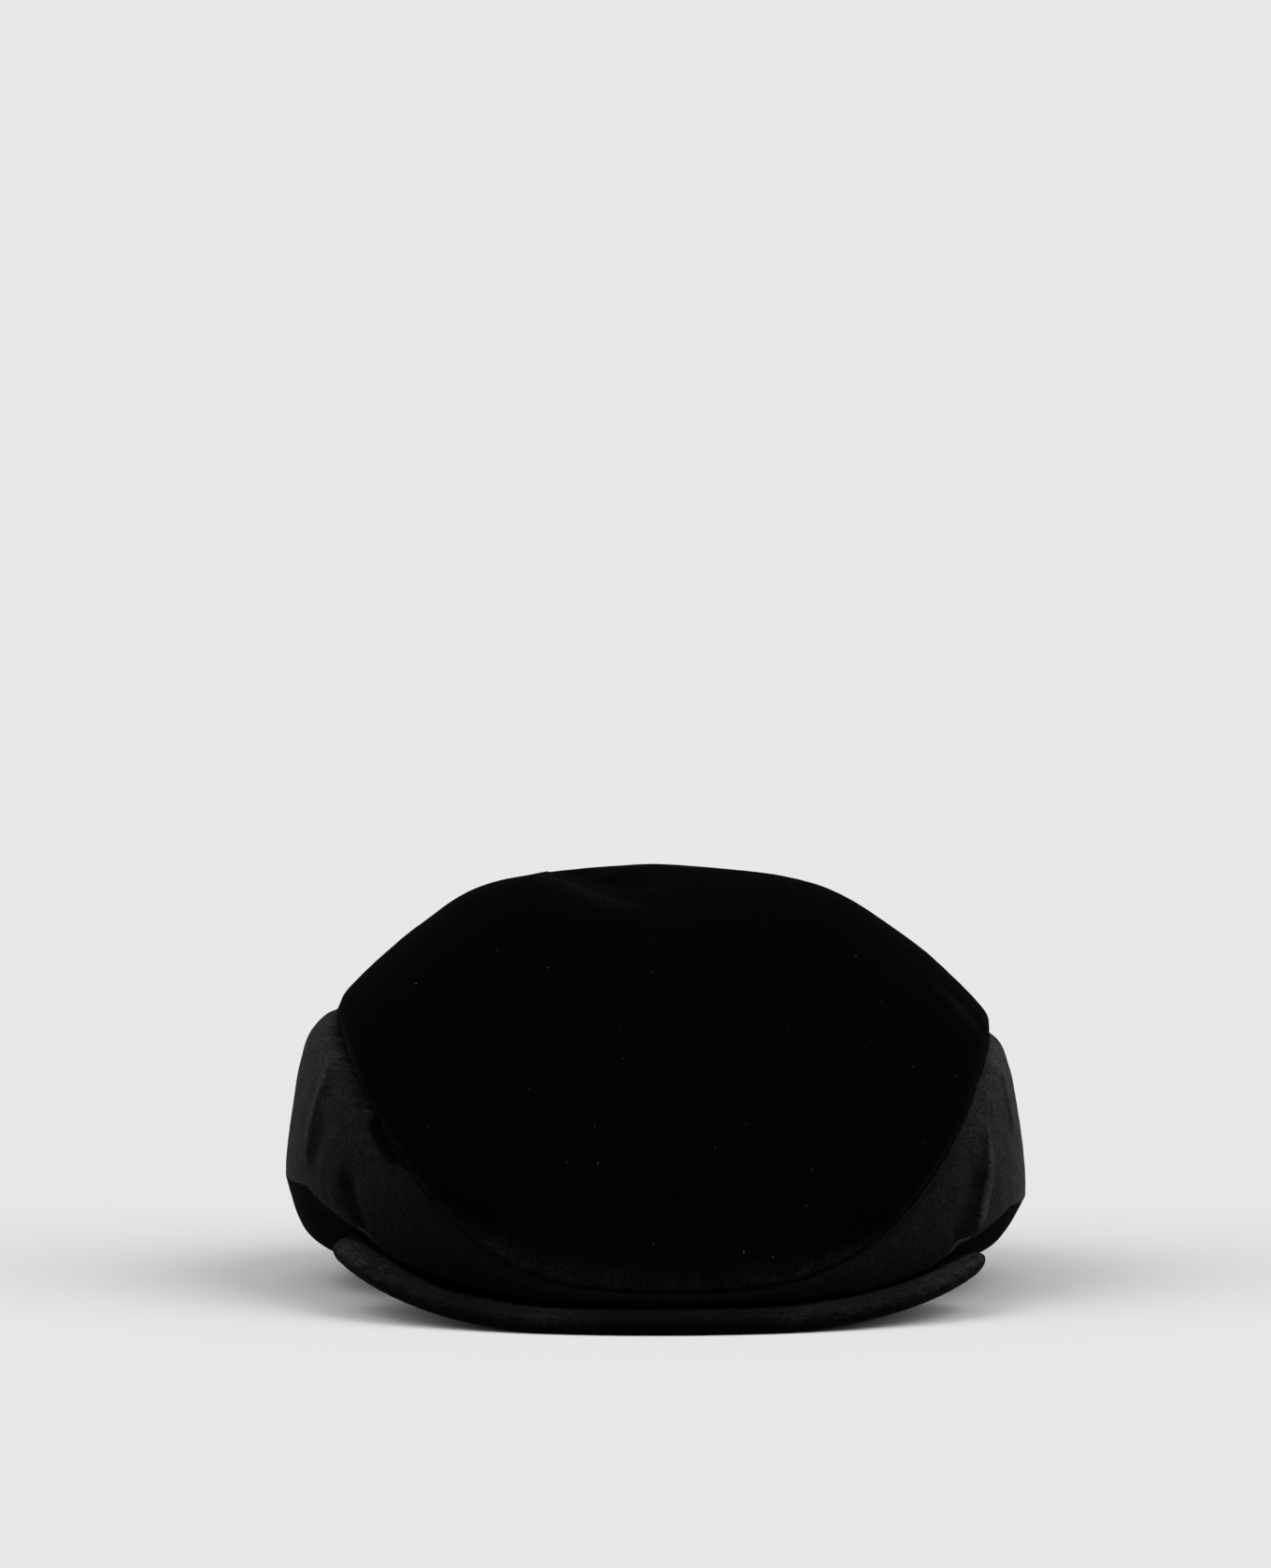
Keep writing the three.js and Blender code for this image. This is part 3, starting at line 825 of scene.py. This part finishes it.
@dataclass(frozen=True)
class Velvet:
    """Black cotton velvet: cut pile over a woven back, so it is matt head on and lighter where it turns away.

    pile is the colour deep in the pile, and the colour after it the lightest. The piece's lightness value
    mixes the two, so it carries painted sheen and painted shade as well as brushed places. Patches are the
    brushed places and grain the single tufts. Names with mm are millimetres on the cloth, and lint_size is a
    speck's radius as a share of lint_mm, the distance between specks.
    """

    name: str
    pile: str
    sheen_and_rubbed: str
    sheen: float
    sheen_roughness: float
    patch_mm: float
    patch_share: float
    specular: float
    sheen_tint: str = "#8a868c"
    patch_span: tuple[float, float] = (0.35, 0.65)
    patch_detail: float = 6.0
    grain_mm: float = 0.9
    grain_detail: float = 2.0
    grain_share: float = 0.75
    grain_span: tuple[float, float] = (0.3, 0.7)
    grain_height_mm: float = 0.25
    noise_roughness: float = 0.7
    roughness: float = 0.95
    lint_mm: float = 0.0
    lint_colour: str = "#5c595e"
    lint_size: float = 0.014
    lint_rarity: float = 12.0

    def material(self) -> bpy.types.Material:
        """Builds the material.

        Returns:
            The material, with its patterns on Object coordinates and on the piece's lightness value, which
            carries painted sheen and painted shade.
        """
        material = bpy.data.materials.new(self.name)
        tree = empty_tree(material)
        sheen_and_nap = add_node(tree, "ShaderNodeAttribute", {}, attribute_name=SHEEN_AND_NAP).outputs["Fac"]
        _, brushed = self.varied(tree, self.patch_mm, self.patch_detail, self.patch_span, self.patch_share)
        grain, tufts = self.varied(
            tree, self.grain_mm, self.grain_detail, self.grain_span, self.grain_share
        )
        lifted = add_node(tree, "ShaderNodeMath", {0: sheen_and_nap, 1: brushed}, operation="MULTIPLY")
        amount = add_node(
            tree, "ShaderNodeMath", {0: lifted.outputs[0], 1: tufts}, operation="MULTIPLY", use_clamp=True
        )
        shades = {"Factor": amount.outputs[0], 6: linear(self.pile), 7: linear(self.sheen_and_rubbed)}
        colour = add_node(tree, "ShaderNodeMix", shades, data_type="RGBA").outputs[2]
        relief = {"Height": grain, "Distance": self.grain_height_mm * MM, "Strength": 1.0}
        surface = {
            "Base Color": self.with_lint(tree, colour) if self.lint_mm else colour,
            "Roughness": self.roughness,
            "Specular IOR Level": self.specular,
            "Sheen Weight": self.sheen,
            "Sheen Roughness": self.sheen_roughness,
            "Sheen Tint": linear(self.sheen_tint),
            "Normal": add_node(tree, "ShaderNodeBump", relief).outputs[0],
        }
        shader = add_node(tree, "ShaderNodeBsdfPrincipled", surface)
        add_node(tree, "ShaderNodeOutputMaterial", {"Surface": shader.outputs[0]})
        return material

    def varied(
        self, tree: bpy.types.NodeTree, size_mm: float, detail: float, span: tuple[float, float], share: float
    ) -> tuple[bpy.types.NodeSocket, bpy.types.NodeSocket]:
        """Adds a noise and a factor that it moves round 1.

        Args:
            tree: the material's node tree.
            size_mm: the noise's scale, in millimetres.
            detail: how many finer layers it has.
            span: the noise values that give the lowest and the highest factor.
            share: how far the factor goes below and above 1.

        Returns:
            The noise and the factor.
        """
        place = add_node(tree, "ShaderNodeTexCoord", {}).outputs["Object"]
        look = {"Scale": 1 / (size_mm * MM), "Detail": detail, "Roughness": self.noise_roughness}
        pattern = add_node(tree, "ShaderNodeTexNoise", {"Vector": place, **look}).outputs["Fac"]
        limits = {"From Min": span[0], "From Max": span[1], "To Min": 1 - share, "To Max": 1 + share}
        factor = add_node(tree, "ShaderNodeMapRange", {"Value": pattern, **limits}).outputs[0]
        return pattern, factor

    def with_lint(self, tree: bpy.types.NodeTree, colour: bpy.types.NodeSocket) -> bpy.types.NodeSocket:
        """Scatters specks of lint over the pile, under half a millimetre wide, on the piece's own UV map.

        Args:
            tree: the material's node tree.
            colour: the pile's colour.

        Returns:
            The colour with the specks.
        """
        cloth = add_node(tree, "ShaderNodeTexCoord", {}).outputs["UV"]
        cells = {"Vector": cloth, "Scale": 1 / (self.lint_mm * MM)}
        specks = add_node(tree, "ShaderNodeTexVoronoi", cells, voronoi_dimensions="2D").outputs
        chance = add_node(tree, "ShaderNodeSeparateColor", {0: specks["Color"]}).outputs[0]
        near = {0: specks["Distance"], 1: self.lint_size}
        shown = add_node(tree, "ShaderNodeMath", near, operation="LESS_THAN").outputs[0]
        rare = {0: chance, 1: self.lint_rarity}
        light = add_node(tree, "ShaderNodeMath", rare, operation="POWER").outputs[0]
        amount = add_node(tree, "ShaderNodeMath", {0: shown, 1: light}, operation="MULTIPLY").outputs[0]
        shades = {"Factor": amount, 6: colour, 7: linear(self.lint_colour)}
        return add_node(tree, "ShaderNodeMix", shades, data_type="RGBA").outputs[2]


@dataclass(frozen=True)
class WovenBack:
    """The plain woven back of the velvet, which shows inside the cap: flat black cotton in a plain weave."""

    name: str = "woven_back"
    warp: str = "#100f11"
    weft: str = "#1b1a1d"
    thread_mm: float = 0.9
    # Blender's wave repeats this often in a unit at scale 1.
    wave_rate: float = 0.314
    waviness: float = 0.4
    relief_mm: float = 0.15
    roughness: float = 0.9
    specular: float = 0.2

    def material(self) -> bpy.types.Material:
        """Builds the material. The threads are drawn about twice as coarse as real ones, so that they show.

        Returns:
            The material, with its weave on the piece's own UV map, in metres.
        """
        material = bpy.data.materials.new(self.name)
        tree = empty_tree(material)
        place = add_node(tree, "ShaderNodeTexCoord", {}).outputs["UV"]
        scale = self.wave_rate / (self.thread_mm * MM)
        threads = {"Vector": place, "Scale": scale, "Distortion": self.waviness, "Detail": 1.0}
        waves = [add_node(tree, "ShaderNodeTexWave", threads, bands_direction=way) for way in ("X", "Y")]
        across, along = (wave.outputs["Fac"] for wave in waves)
        weave = add_node(tree, "ShaderNodeMath", {0: across, 1: along}).outputs[0]
        half = add_node(tree, "ShaderNodeMath", {0: weave, 1: 0.5}, operation="MULTIPLY").outputs[0]
        shades = {"Factor": half, 6: linear(self.warp), 7: linear(self.weft)}
        colour = add_node(tree, "ShaderNodeMix", shades, data_type="RGBA").outputs[2]
        bump = add_node(tree, "ShaderNodeBump", {"Height": half, "Distance": self.relief_mm * MM}).outputs[0]
        surface = {
            "Base Color": colour,
            "Roughness": self.roughness,
            "Specular IOR Level": self.specular,
            "Normal": bump,
        }
        shader = add_node(tree, "ShaderNodeBsdfPrincipled", surface)
        add_node(tree, "ShaderNodeOutputMaterial", {"Surface": shader.outputs[0]})
        return material


# Pile seen head on, which swallows nearly all light: the deepest black, with a few light specks of lint.
TOP_VELVET = Velvet("top_velvet", "#010101", "#121213", 0.015, 0.35, 14.0, 0.25, 0.008, lint_mm=15.0)
# The sides' pile, black to dark grey: its grey is painted sheen where the cloth turns from the front,
# broken by brushed patches.
SIDE_VELVET = Velvet("side_velvet", "#020202", "#3a383b", 0.03, 0.4, 6.0, 0.2, 0.015)
# A shaded copy of the velvet, painted shade under the crease and under the crown's lip, also on the seam
# allowances: black, without the sides' grey.
SHADED_VELVET = Velvet("under_velvet", "#030303", "#141415", 0.004, 0.45, 9.0, 0.3, 0.004)
# Pile pulled tight over the board, with patches of rubbing: grey and black spots side by side, and painted
# sheen lighter towards the tips.
VISOR_VELVET = Velvet(
    "visor_velvet", "#020202", "#2a282b", 0.03, 0.45, 3.5, 0.6, 0.015, grain_mm=1.1, grain_share=1.0
)
# Threads without pile, a little lighter and flatter than the velvet's face.
BACKING = WovenBack()


def sheet_object(
    name: str, columns: int, rows: int, place: Callable[[np.ndarray, np.ndarray], Laid], slots: Surface
) -> bpy.types.Object:
    """Makes a piece from a grid whose points are placed by a function.

    Args:
        name: the piece's name.
        columns: squares along the grid's first direction.
        rows: squares along its second direction.
        place: takes the grid's two coordinates, each from 0 to 1, and lays them out.
        slots: takes the coordinates of the faces' middles and gives each face's material slot.

    Returns:
        The new object, at the origin.
    """
    mesh = bmesh.new()
    uv_layer = mesh.loops.layers.uv.new("UVMap")
    sheen_and_nap_layer = mesh.verts.layers.float.new(SHEEN_AND_NAP)
    group_layer = mesh.verts.layers.deform.verify()
    bmesh.ops.create_grid(mesh, x_segments=columns, y_segments=rows, size=1.0)
    flat = np.array([vert.co[:2] for vert in mesh.verts]) * 0.5 + 0.5
    middles = np.array([face.calc_center_median()[:2] for face in mesh.faces]) * 0.5 + 0.5
    for face, slot in zip(mesh.faces, slots(middles[:, 0], middles[:, 1])):
        face.material_index = int(slot)
    laid = place(flat[:, 0], flat[:, 1])
    for vert, point, sheen_and_nap, wall in zip(mesh.verts, laid.points * MM, laid.sheen_and_nap, laid.wall):
        vert.co = point
        vert[sheen_and_nap_layer] = sheen_and_nap
        vert[group_layer][0] = wall
    for face in mesh.faces:
        face.smooth = True
        for loop in face.loops:
            loop[uv_layer].uv = laid.uvs[loop.vert.index]
    bmesh.ops.remove_doubles(mesh, verts=mesh.verts, dist=MERGED_MM * MM)
    data = bpy.data.meshes.new(name)
    mesh.to_mesh(data)
    mesh.free()
    piece = bpy.data.objects.new(name, data)
    piece.vertex_groups.new(name=WALL)
    bpy.context.scene.collection.objects.link(piece)
    return piece


@dataclass
class Panel:
    """A sheet of cloth laid on the crown. seam_levels says how many levels bend to meet the top seam."""

    crown: CrownForm
    name: str
    columns: int
    rows: int
    thickness: float = 1.8
    seam_gap: float = 0.16
    seam_levels: float = 0.5

    def place(self, u: np.ndarray, v: np.ndarray) -> Laid:
        """Lays a grid with coordinates from 0 to 1 on the crown. Each kind of panel has its own."""
        raise NotImplementedError

    def slots(self, u: np.ndarray, v: np.ndarray) -> np.ndarray:
        """Material slot 0 for every face, unless a kind of panel tells them apart."""
        return np.zeros(len(u))

    def to_seam(self, angle: np.ndarray, level: np.ndarray, direction: int) -> np.ndarray:
        """Stretches the last levels before the top seam so that they end at the seam's line.

        Args:
            angle: angles from the visor.
            level: their levels.
            direction: 1 for the cloth above the seam, -1 for the cloth below it.

        Returns:
            The new levels.
        """
        edge = self.crown.level_beside_seam(angle, direction, self.seam_gap)
        near = SEAM_LEVEL + direction * self.seam_levels
        share = np.maximum(0.0, (near - level) * direction) / self.seam_levels
        return np.where(share > 0, near + (edge - near) * share, level)

    def build(self, inside: bpy.types.Material, *outside: bpy.types.Material) -> bpy.types.Object:
        """Builds the panel as a wall with velvet outside and the woven back inside.

        Args:
            inside: the woven back, which fills the slot behind each velvet.
            outside: the velvets. A face in slot 0 shows the first, and one in slot 2 the second.

        Returns:
            The finished piece.
        """
        piece = sheet_object(self.name, self.columns, self.rows, self.place, self.slots)
        for velvet in outside:
            piece.data.materials.append(velvet)
            piece.data.materials.append(inside)
        wall = piece.modifiers.new("wall", "SOLIDIFY")
        wall.thickness = self.thickness * MM
        wall.offset = -1.0
        wall.vertex_group = WALL
        wall.use_even_offset = False
        wall.material_offset = 1
        wall.material_offset_rim = 0
        return piece


@dataclass
class TopPanel(Panel):
    """The crown's top, one panel. spans are the shares of the grid's radius that reach each level."""

    name: str = "top_panel_velvet"
    columns: int = 190
    rows: int = 190
    spans: tuple[float, ...] = (0.0, 0.3, 0.6, 0.9, 1.0)

    def place(self, u: np.ndarray, v: np.ndarray) -> Laid:
        """Lays a square grid over the dome without a pole: its squares run in rings round the middle.

        Args:
            u: the grid's first coordinate, from 0 to 1.
            v: the grid's second coordinate, from 0 to 1.

        Returns:
            The layout.
        """
        a, b = 2 * u - 1, 2 * v - 1
        radius = np.maximum(np.abs(a), np.abs(b))
        eighth = np.minimum(np.abs(a), np.abs(b)) / np.maximum(radius, TINY) * math.pi / 4
        from_axis = np.where(np.abs(a) >= np.abs(b), eighth, math.pi / 2 - eighth)
        turned = np.arctan2(np.sin(from_axis) * np.sign(b + TINY), np.cos(from_axis) * np.sign(a + TINY))
        angle = turned + math.pi / 2
        level = np.interp(radius, self.spans, range(TOP_LEVEL, SEAM_LEVEL - 1, -1))
        level = self.to_seam(angle, level, 1)
        crown = self.crown
        out = crown.length_up(angle, np.full_like(level, TOP_LEVEL)) - crown.length_up(angle, level)
        uvs = np.column_stack([out * np.sin(angle), -out * np.cos(angle)]) * MM
        sheen_and_nap = crown.top_sheen_and_nap_at(angle, np.maximum(level, SEAM_LEVEL))
        return Laid(crown.outer(angle, level), uvs, sheen_and_nap, crown.wall_share(angle, level))


@dataclass
class SidePanel(Panel):
    """One side panel, from the hem up to the top seam and from the front seam to the back seam.

    turn_shares are the shares of the columns that reach the ends and the turns between them, in degrees, and
    level_shares the shares of the rows that reach each level.
    """

    name: str = "side_panel"
    columns: int = 230
    rows: int = 112
    side: Side = Side.LEFT
    end_degrees: float = 0.0057
    crease_level: float = 4.02
    turn_shares: tuple[float, ...] = (0.0, 0.14, 0.62, 1.0)
    turns: tuple[float, float] = (30.0, 90.0)
    level_shares: tuple[float, ...] = (0.0, 0.05, 0.08, 0.21, 0.38, 0.62, 0.85, 1.0)

    def slots(self, u: np.ndarray, v: np.ndarray) -> np.ndarray:
        """Material slot 2 under the crease, a shaded velvet as painted shade, and 0 above it."""
        return np.where(self.address(u, v)[1] < self.crease_level, 2, 0)

    def address(self, u: np.ndarray, v: np.ndarray) -> tuple[np.ndarray, np.ndarray]:
        """Turns grid coordinates into the crown's, with the columns closer together where the folds are.

        Args:
            u: coordinates from one end seam to the other, from 0 to 1.
            v: coordinates from hem to seam, from 0 to 1.

        Returns:
            Angles and levels.
        """
        right_way = u if self.side is Side.RIGHT else 1 - u
        turns = (self.end_degrees, *self.turns, 180.0 - self.end_degrees)
        angle = np.radians(np.interp(right_way, self.turn_shares, turns)) * self.side.value
        level = np.interp(v, self.level_shares, np.arange(SEAM_LEVEL + 1))
        return angle, self.to_seam(angle, level, -1)

    def place(self, u: np.ndarray, v: np.ndarray) -> Laid:
        """Lays the grid on the crown.

        Args:
            u: the grid's coordinate from one end seam to the other, from 0 to 1.
            v: the grid's coordinate from hem to seam, from 0 to 1.

        Returns:
            The layout.
        """
        angle, level = self.address(u, v)
        crown = self.crown
        sheen_and_nap = crown.side_sheen_at(angle, np.minimum(level, SEAM_LEVEL))
        points, wall = crown.outer(angle, level), crown.wall_share(angle, level)
        return Laid(points, crown.unrolled(angle, level), sheen_and_nap, wall)


@dataclass
class SeamAllowance(Panel):
    """The panels' edges turned in and pressed open behind a seam, so that no light comes through it."""

    angles: tuple[float, float] = (-180.0, 180.0)
    levels: tuple[float, float] = (0.0, 1.0)
    depth: float = 1.25

    def place(self, u: np.ndarray, v: np.ndarray) -> Laid:
        """Lays the strip inside the crown's cloth.

        Args:
            u: the grid's coordinate between the two angles, from 0 to 1.
            v: the grid's coordinate between the two levels, from 0 to 1.

        Returns:
            The layout.
        """
        angle = np.radians(self.angles[0] + (self.angles[1] - self.angles[0]) * u)
        level = self.levels[0] + (self.levels[1] - self.levels[0]) * v
        crown = self.crown
        inward = crown.normals(crown.profile, angle, level) * -self.depth
        none = np.zeros(len(u))
        points = crown.outer(angle, level) + inward
        return Laid(points, crown.unrolled(angle, level), none, none + crown.pressed_wall)


@dataclass
class Visor:
    """The visor: velvet pulled over a stiff crescent and round its edges.

    uneven, ragged and lip_shade are millimetres, edge_tilts degrees, and cloth_size metres.
    """

    form: VisorForm
    crown: CrownForm
    columns: int = 300
    rows: int = 88
    edge_share: float = 0.1
    end_taper: float = 0.018
    uneven: float = 0.22
    uneven_until: tuple[float, float] = (0.6, 0.8)
    ragged: float = 0.3
    lip_shade: float = 0.6
    edge_shade_share: float = 0.12
    edge_tilts: tuple[float, float] = (-25.0, 70.0)
    cloth_size: tuple[float, float] = (0.28, 0.1)

    def section(self, u: np.ndarray, v: np.ndarray) -> tuple[np.ndarray, np.ndarray, np.ndarray]:
        """Wraps the grid round the crescent: over the top, round the outer edge and back below.

        Args:
            u: the grid's coordinate from the left end to the right end, from 0 to 1.
            v: the grid's coordinate round a section, from 0 to 1.

        Returns:
            Plan points in millimetres, the height from underside to top from 0 to 1, and the tilt in degrees.
        """
        form = self.form
        turn = np.clip(2 * u - 1, -1.0, 1.0)
        outer_angle = turn * math.pi / 2
        rim = self.crown.ring_points(RIM, np.radians(turn * form.rim_angle))[:, :2]
        outer = np.column_stack(
            [form.half(turn) * np.sin(outer_angle), form.widest_y - form.depth * np.cos(outer_angle)]
        )
        corner = np.maximum(0.0, (np.abs(turn) * 90 - form.corner_angle) / (90 - form.corner_angle))
        cut = form.corner_share * (1 - np.sqrt(np.maximum(0.0, 1 - corner**2)))
        outer = outer + (rim - outer) * cut[:, None]
        edge = 0.5 * form.thickness / np.linalg.norm(rim - outer, axis=1)
        round_from, round_to = 0.5 - self.edge_share, 0.5 + self.edge_share
        tilt = np.interp(v, (0.0, round_from, 0.5, round_to, 1.0), (90.0, 90.0, 0.0, -90.0, -90.0))
        in_top = np.clip(v / round_from, 0, 1)
        in_bottom = np.clip((v - round_to) / round_from, 0, 1)
        flat = np.where(v > 0.5, edge + (1.0 - edge) * in_bottom, 1.0 - (1.0 - edge) * in_top)
        share = flat - edge * np.cos(np.radians(tilt))
        end = smoothstep(1 - np.abs(turn), 0.0, self.end_taper)
        up = 0.5 + 0.5 * np.sin(np.radians(tilt)) * np.sqrt(end)
        return outer + (rim - outer) * share[:, None], up, tilt

    def slots(self, u: np.ndarray, v: np.ndarray) -> np.ndarray:
        """Tells the faces under the crown's lip, which take a shaded velvet as painted shade, from the open
        ones.

        Args:
            u: the faces' coordinates from the left end to the right end.
            v: their coordinates round a section.

        Returns:
            Material slot 1 under the crown, and 0 elsewhere.
        """
        plan, up, _ = self.section(u, v)
        across = plan[:, 0] / np.where(plan[:, 0] < 0, CREASE.left, CREASE.right)
        ahead = (OPENING_CENTRE_Y - plan[:, 1]) / (OPENING_CENTRE_Y - CREASE.front)
        lip = self.crown.ring_points(CREASE, np.arctan2(across, ahead))
        reach = np.hypot(lip[:, 0], lip[:, 1] - OPENING_CENTRE_Y) - self.lip_shade
        inside = np.hypot(plan[:, 0], plan[:, 1] - OPENING_CENTRE_Y) < reach
        return np.where(inside & (up > 0.5), 1, 0)

    def place(self, u: np.ndarray, v: np.ndarray) -> Laid:
        """Lays the grid on the crescent, uneven on top and along the edge.

        Args:
            u: the grid's coordinate from the left end to the right end, from 0 to 1.
            v: the grid's coordinate round a section, from 0 to 1.

        Returns:
            The layout.
        """
        plan, up, tilt = self.section(u, v)
        bottom, top = self.form.bottom(plan), self.form.top(plan)
        points = np.column_stack([plan, bottom + (top - bottom) * up])
        inner = smoothstep(self.form.share(plan), *self.uneven_until)
        points[:, 2] += self.uneven * rumple(points, VISOR_TOP) * np.maximum(0.0, 2 * up - 1) * (1 - inner)
        away = unit(plan - np.array([0.0, OPENING_CENTRE_Y]))
        ragged = self.ragged * rumple(points, VISOR_EDGE) * np.cos(np.radians(tilt))
        points[:, :2] += away * ragged[:, None]
        stops = np.array(VISOR_RUBBING_AND_SHEEN)
        sheen_and_nap = np.interp(plan[:, 0] / self.form.half(plan[:, 0]), stops[:, 0], stops[:, 1])
        # Painted shade: darker where the cloth turns down round the outer edge and under the visor.
        sheen_and_nap = sheen_and_nap * (self.edge_shade_share + (1.0 - self.edge_shade_share) * smoothstep(tilt, *self.edge_tilts))
        return Laid(points, np.column_stack([u - 0.5, v]) * self.cloth_size, sheen_and_nap, np.ones(len(u)))

    def build(self, outside: bpy.types.Material, under: bpy.types.Material) -> bpy.types.Object:
        """Builds the visor.

        Args:
            outside: the velvet.
            under: the shaded velvet, painted shade under the crown.

        Returns:
            The finished piece.
        """
        piece = sheet_object("visor_velvet", self.columns, self.rows, self.place, self.slots)
        mesh = bmesh.new()
        mesh.from_mesh(piece.data)
        loose = [edge for edge in mesh.edges if len(edge.link_faces) == 1]
        bmesh.ops.bridge_loops(mesh, edges=loose)
        bmesh.ops.recalc_face_normals(mesh, faces=mesh.faces)
        mesh.to_mesh(piece.data)
        mesh.free()
        piece.data.materials.append(outside)
        piece.data.materials.append(under)
        return piece


@dataclass
class Studio:
    """The plain pale floor, the soft light and the camera at the photograph's angle.

    floor_half and clip_end are metres, camera_place, lens and sensor_width millimetres, and the spreads and
    the pitch degrees.
    """

    background: str = "#e7e7e7"
    floor_colour: str = "#d5d5d5"
    floor_half: float = 60.0
    ambient: float = 0.35
    left_energy: float = 1.62
    right_energy: float = 1.88
    quarter_spread: float = 60.0
    quarter_light: tuple[float, float, float] = (0.7, 0.3, -0.62)
    top_energy: float = 0.75
    top_spread: float = 70.0
    top_light: tuple[float, float, float] = (0.0, 0.35, -0.94)
    lens: float = 131.0
    camera_place: tuple[float, float, float] = (-5.8, -1732.5, 182.0)
    camera_pitch: float = 0.97
    sensor_width: float = 36.0
    clip_end: float = 500.0

    def floor(self) -> None:
        """Lays the floor, a matt sheet that reaches past the horizon."""
        mesh = bmesh.new()
        bmesh.ops.create_grid(mesh, x_segments=1, y_segments=1, size=self.floor_half)
        data = bpy.data.meshes.new("floor")
        mesh.to_mesh(data)
        mesh.free()
        floor = bpy.data.objects.new("floor", data)
        bpy.context.scene.collection.objects.link(floor)
        # Unglazed paper scatters light evenly, so it shows no highlight under the cap.
        material = bpy.data.materials.new("matt_paper")
        tree = empty_tree(material)
        shader = add_node(tree, "ShaderNodeBsdfDiffuse", {"Color": linear(self.floor_colour)})
        add_node(tree, "ShaderNodeOutputMaterial", {"Surface": shader.outputs[0]})
        data.materials.append(material)

    def world(self) -> None:
        """Makes the pale surroundings, which look brighter than the light they give."""
        world = bpy.data.worlds.new("pale_studio")
        tree = empty_tree(world)
        seen = add_node(tree, "ShaderNodeLightPath", {}).outputs["Is Camera Ray"]
        levels = {"Value": seen, "To Min": self.ambient, "To Max": 1.0}
        strength = add_node(tree, "ShaderNodeMapRange", levels).outputs[0]
        glow = {"Color": linear(self.background), "Strength": strength}
        light = add_node(tree, "ShaderNodeBackground", glow)
        add_node(tree, "ShaderNodeOutputWorld", {"Surface": light.outputs[0]})
        bpy.context.scene.world = world

    def sun(self, name: str, energy: float, spread: float, direction: tuple[float, float, float]) -> None:
        """Adds a very wide sun, which lights the floor evenly.

        Args:
            name: the light's name.
            energy: its strength, in watts for each square metre.
            spread: its width in the sky, in degrees.
            direction: the way its light travels.
        """
        data = bpy.data.lights.new(name, "SUN")
        data.energy = energy
        data.angle = math.radians(spread)
        light = bpy.data.objects.new(name, data)
        light.rotation_mode = "QUATERNION"
        light.rotation_quaternion = Vector(direction).to_track_quat("-Z", "Y")
        bpy.context.scene.collection.objects.link(light)

    def camera(self) -> None:
        """Places the camera at the photograph's angle and distance."""
        data = bpy.data.cameras.new("camera")
        data.lens = self.lens
        data.sensor_width = self.sensor_width
        data.clip_end = self.clip_end
        camera = bpy.data.objects.new("camera", data)
        camera.location = Vector(self.camera_place) * MM
        camera.rotation_euler = (math.radians(90.0 - self.camera_pitch), 0.0, 0.0)
        bpy.context.scene.collection.objects.link(camera)
        bpy.context.scene.camera = camera

    def build(self) -> None:
        """Builds the whole studio."""
        self.camera()
        self.floor()
        self.world()
        self.sun("overhead_softbox", self.top_energy, self.top_spread, self.top_light)
        across, along, down = self.quarter_light
        for side, energy in ((Side.LEFT, self.left_energy), (Side.RIGHT, self.right_energy)):
            direction = (-side.value * across, along, down)
            self.sun(f"softbox_{side.name.lower()}", energy, self.quarter_spread, direction)
        bpy.context.scene.view_settings.view_transform = "Standard"


def hand_over(piece: bpy.types.Object, slot: str, *nodes: str) -> None:
    """Lets a piece stand for its construction nodes and ride on the cap.

    Args:
        piece: the finished piece.
        slot: the material slot of its finish; it is not used.
        nodes: the nodes it stands for.
    """
    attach(piece, BODY)
    if nodes:
        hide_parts(*nodes)
    LOG.info("%s: %d faces", piece.name, len(piece.data.polygons))


def main() -> None:
    """Builds the studio and the cap, piece by piece."""
    logging.basicConfig(level=logging.INFO)
    Studio().build()
    form = VisorForm()
    crown = CrownForm(form)
    backing = BACKING.material()
    side_velvet, under_velvet = SIDE_VELVET.material(), SHADED_VELVET.material()
    hand_over(TopPanel(crown).build(backing, TOP_VELVET.material()), "top_velvet", "top_panel")
    for strip in STRIPS:
        allowance = SeamAllowance(crown, **asdict(strip))
        hand_over(allowance.build(backing, under_velvet), "side_velvet")
    for side in Side:
        node = f"side_panel_{side.name.lower()}"
        panel = SidePanel(crown, f"{node}_velvet", side=side)
        hand_over(panel.build(backing, side_velvet, under_velvet), "side_velvet", node)
    hand_over(Visor(form, crown).build(VISOR_VELVET.material(), under_velvet), "visor_velvet", "visor")


if __name__ == "__main__":
    main()
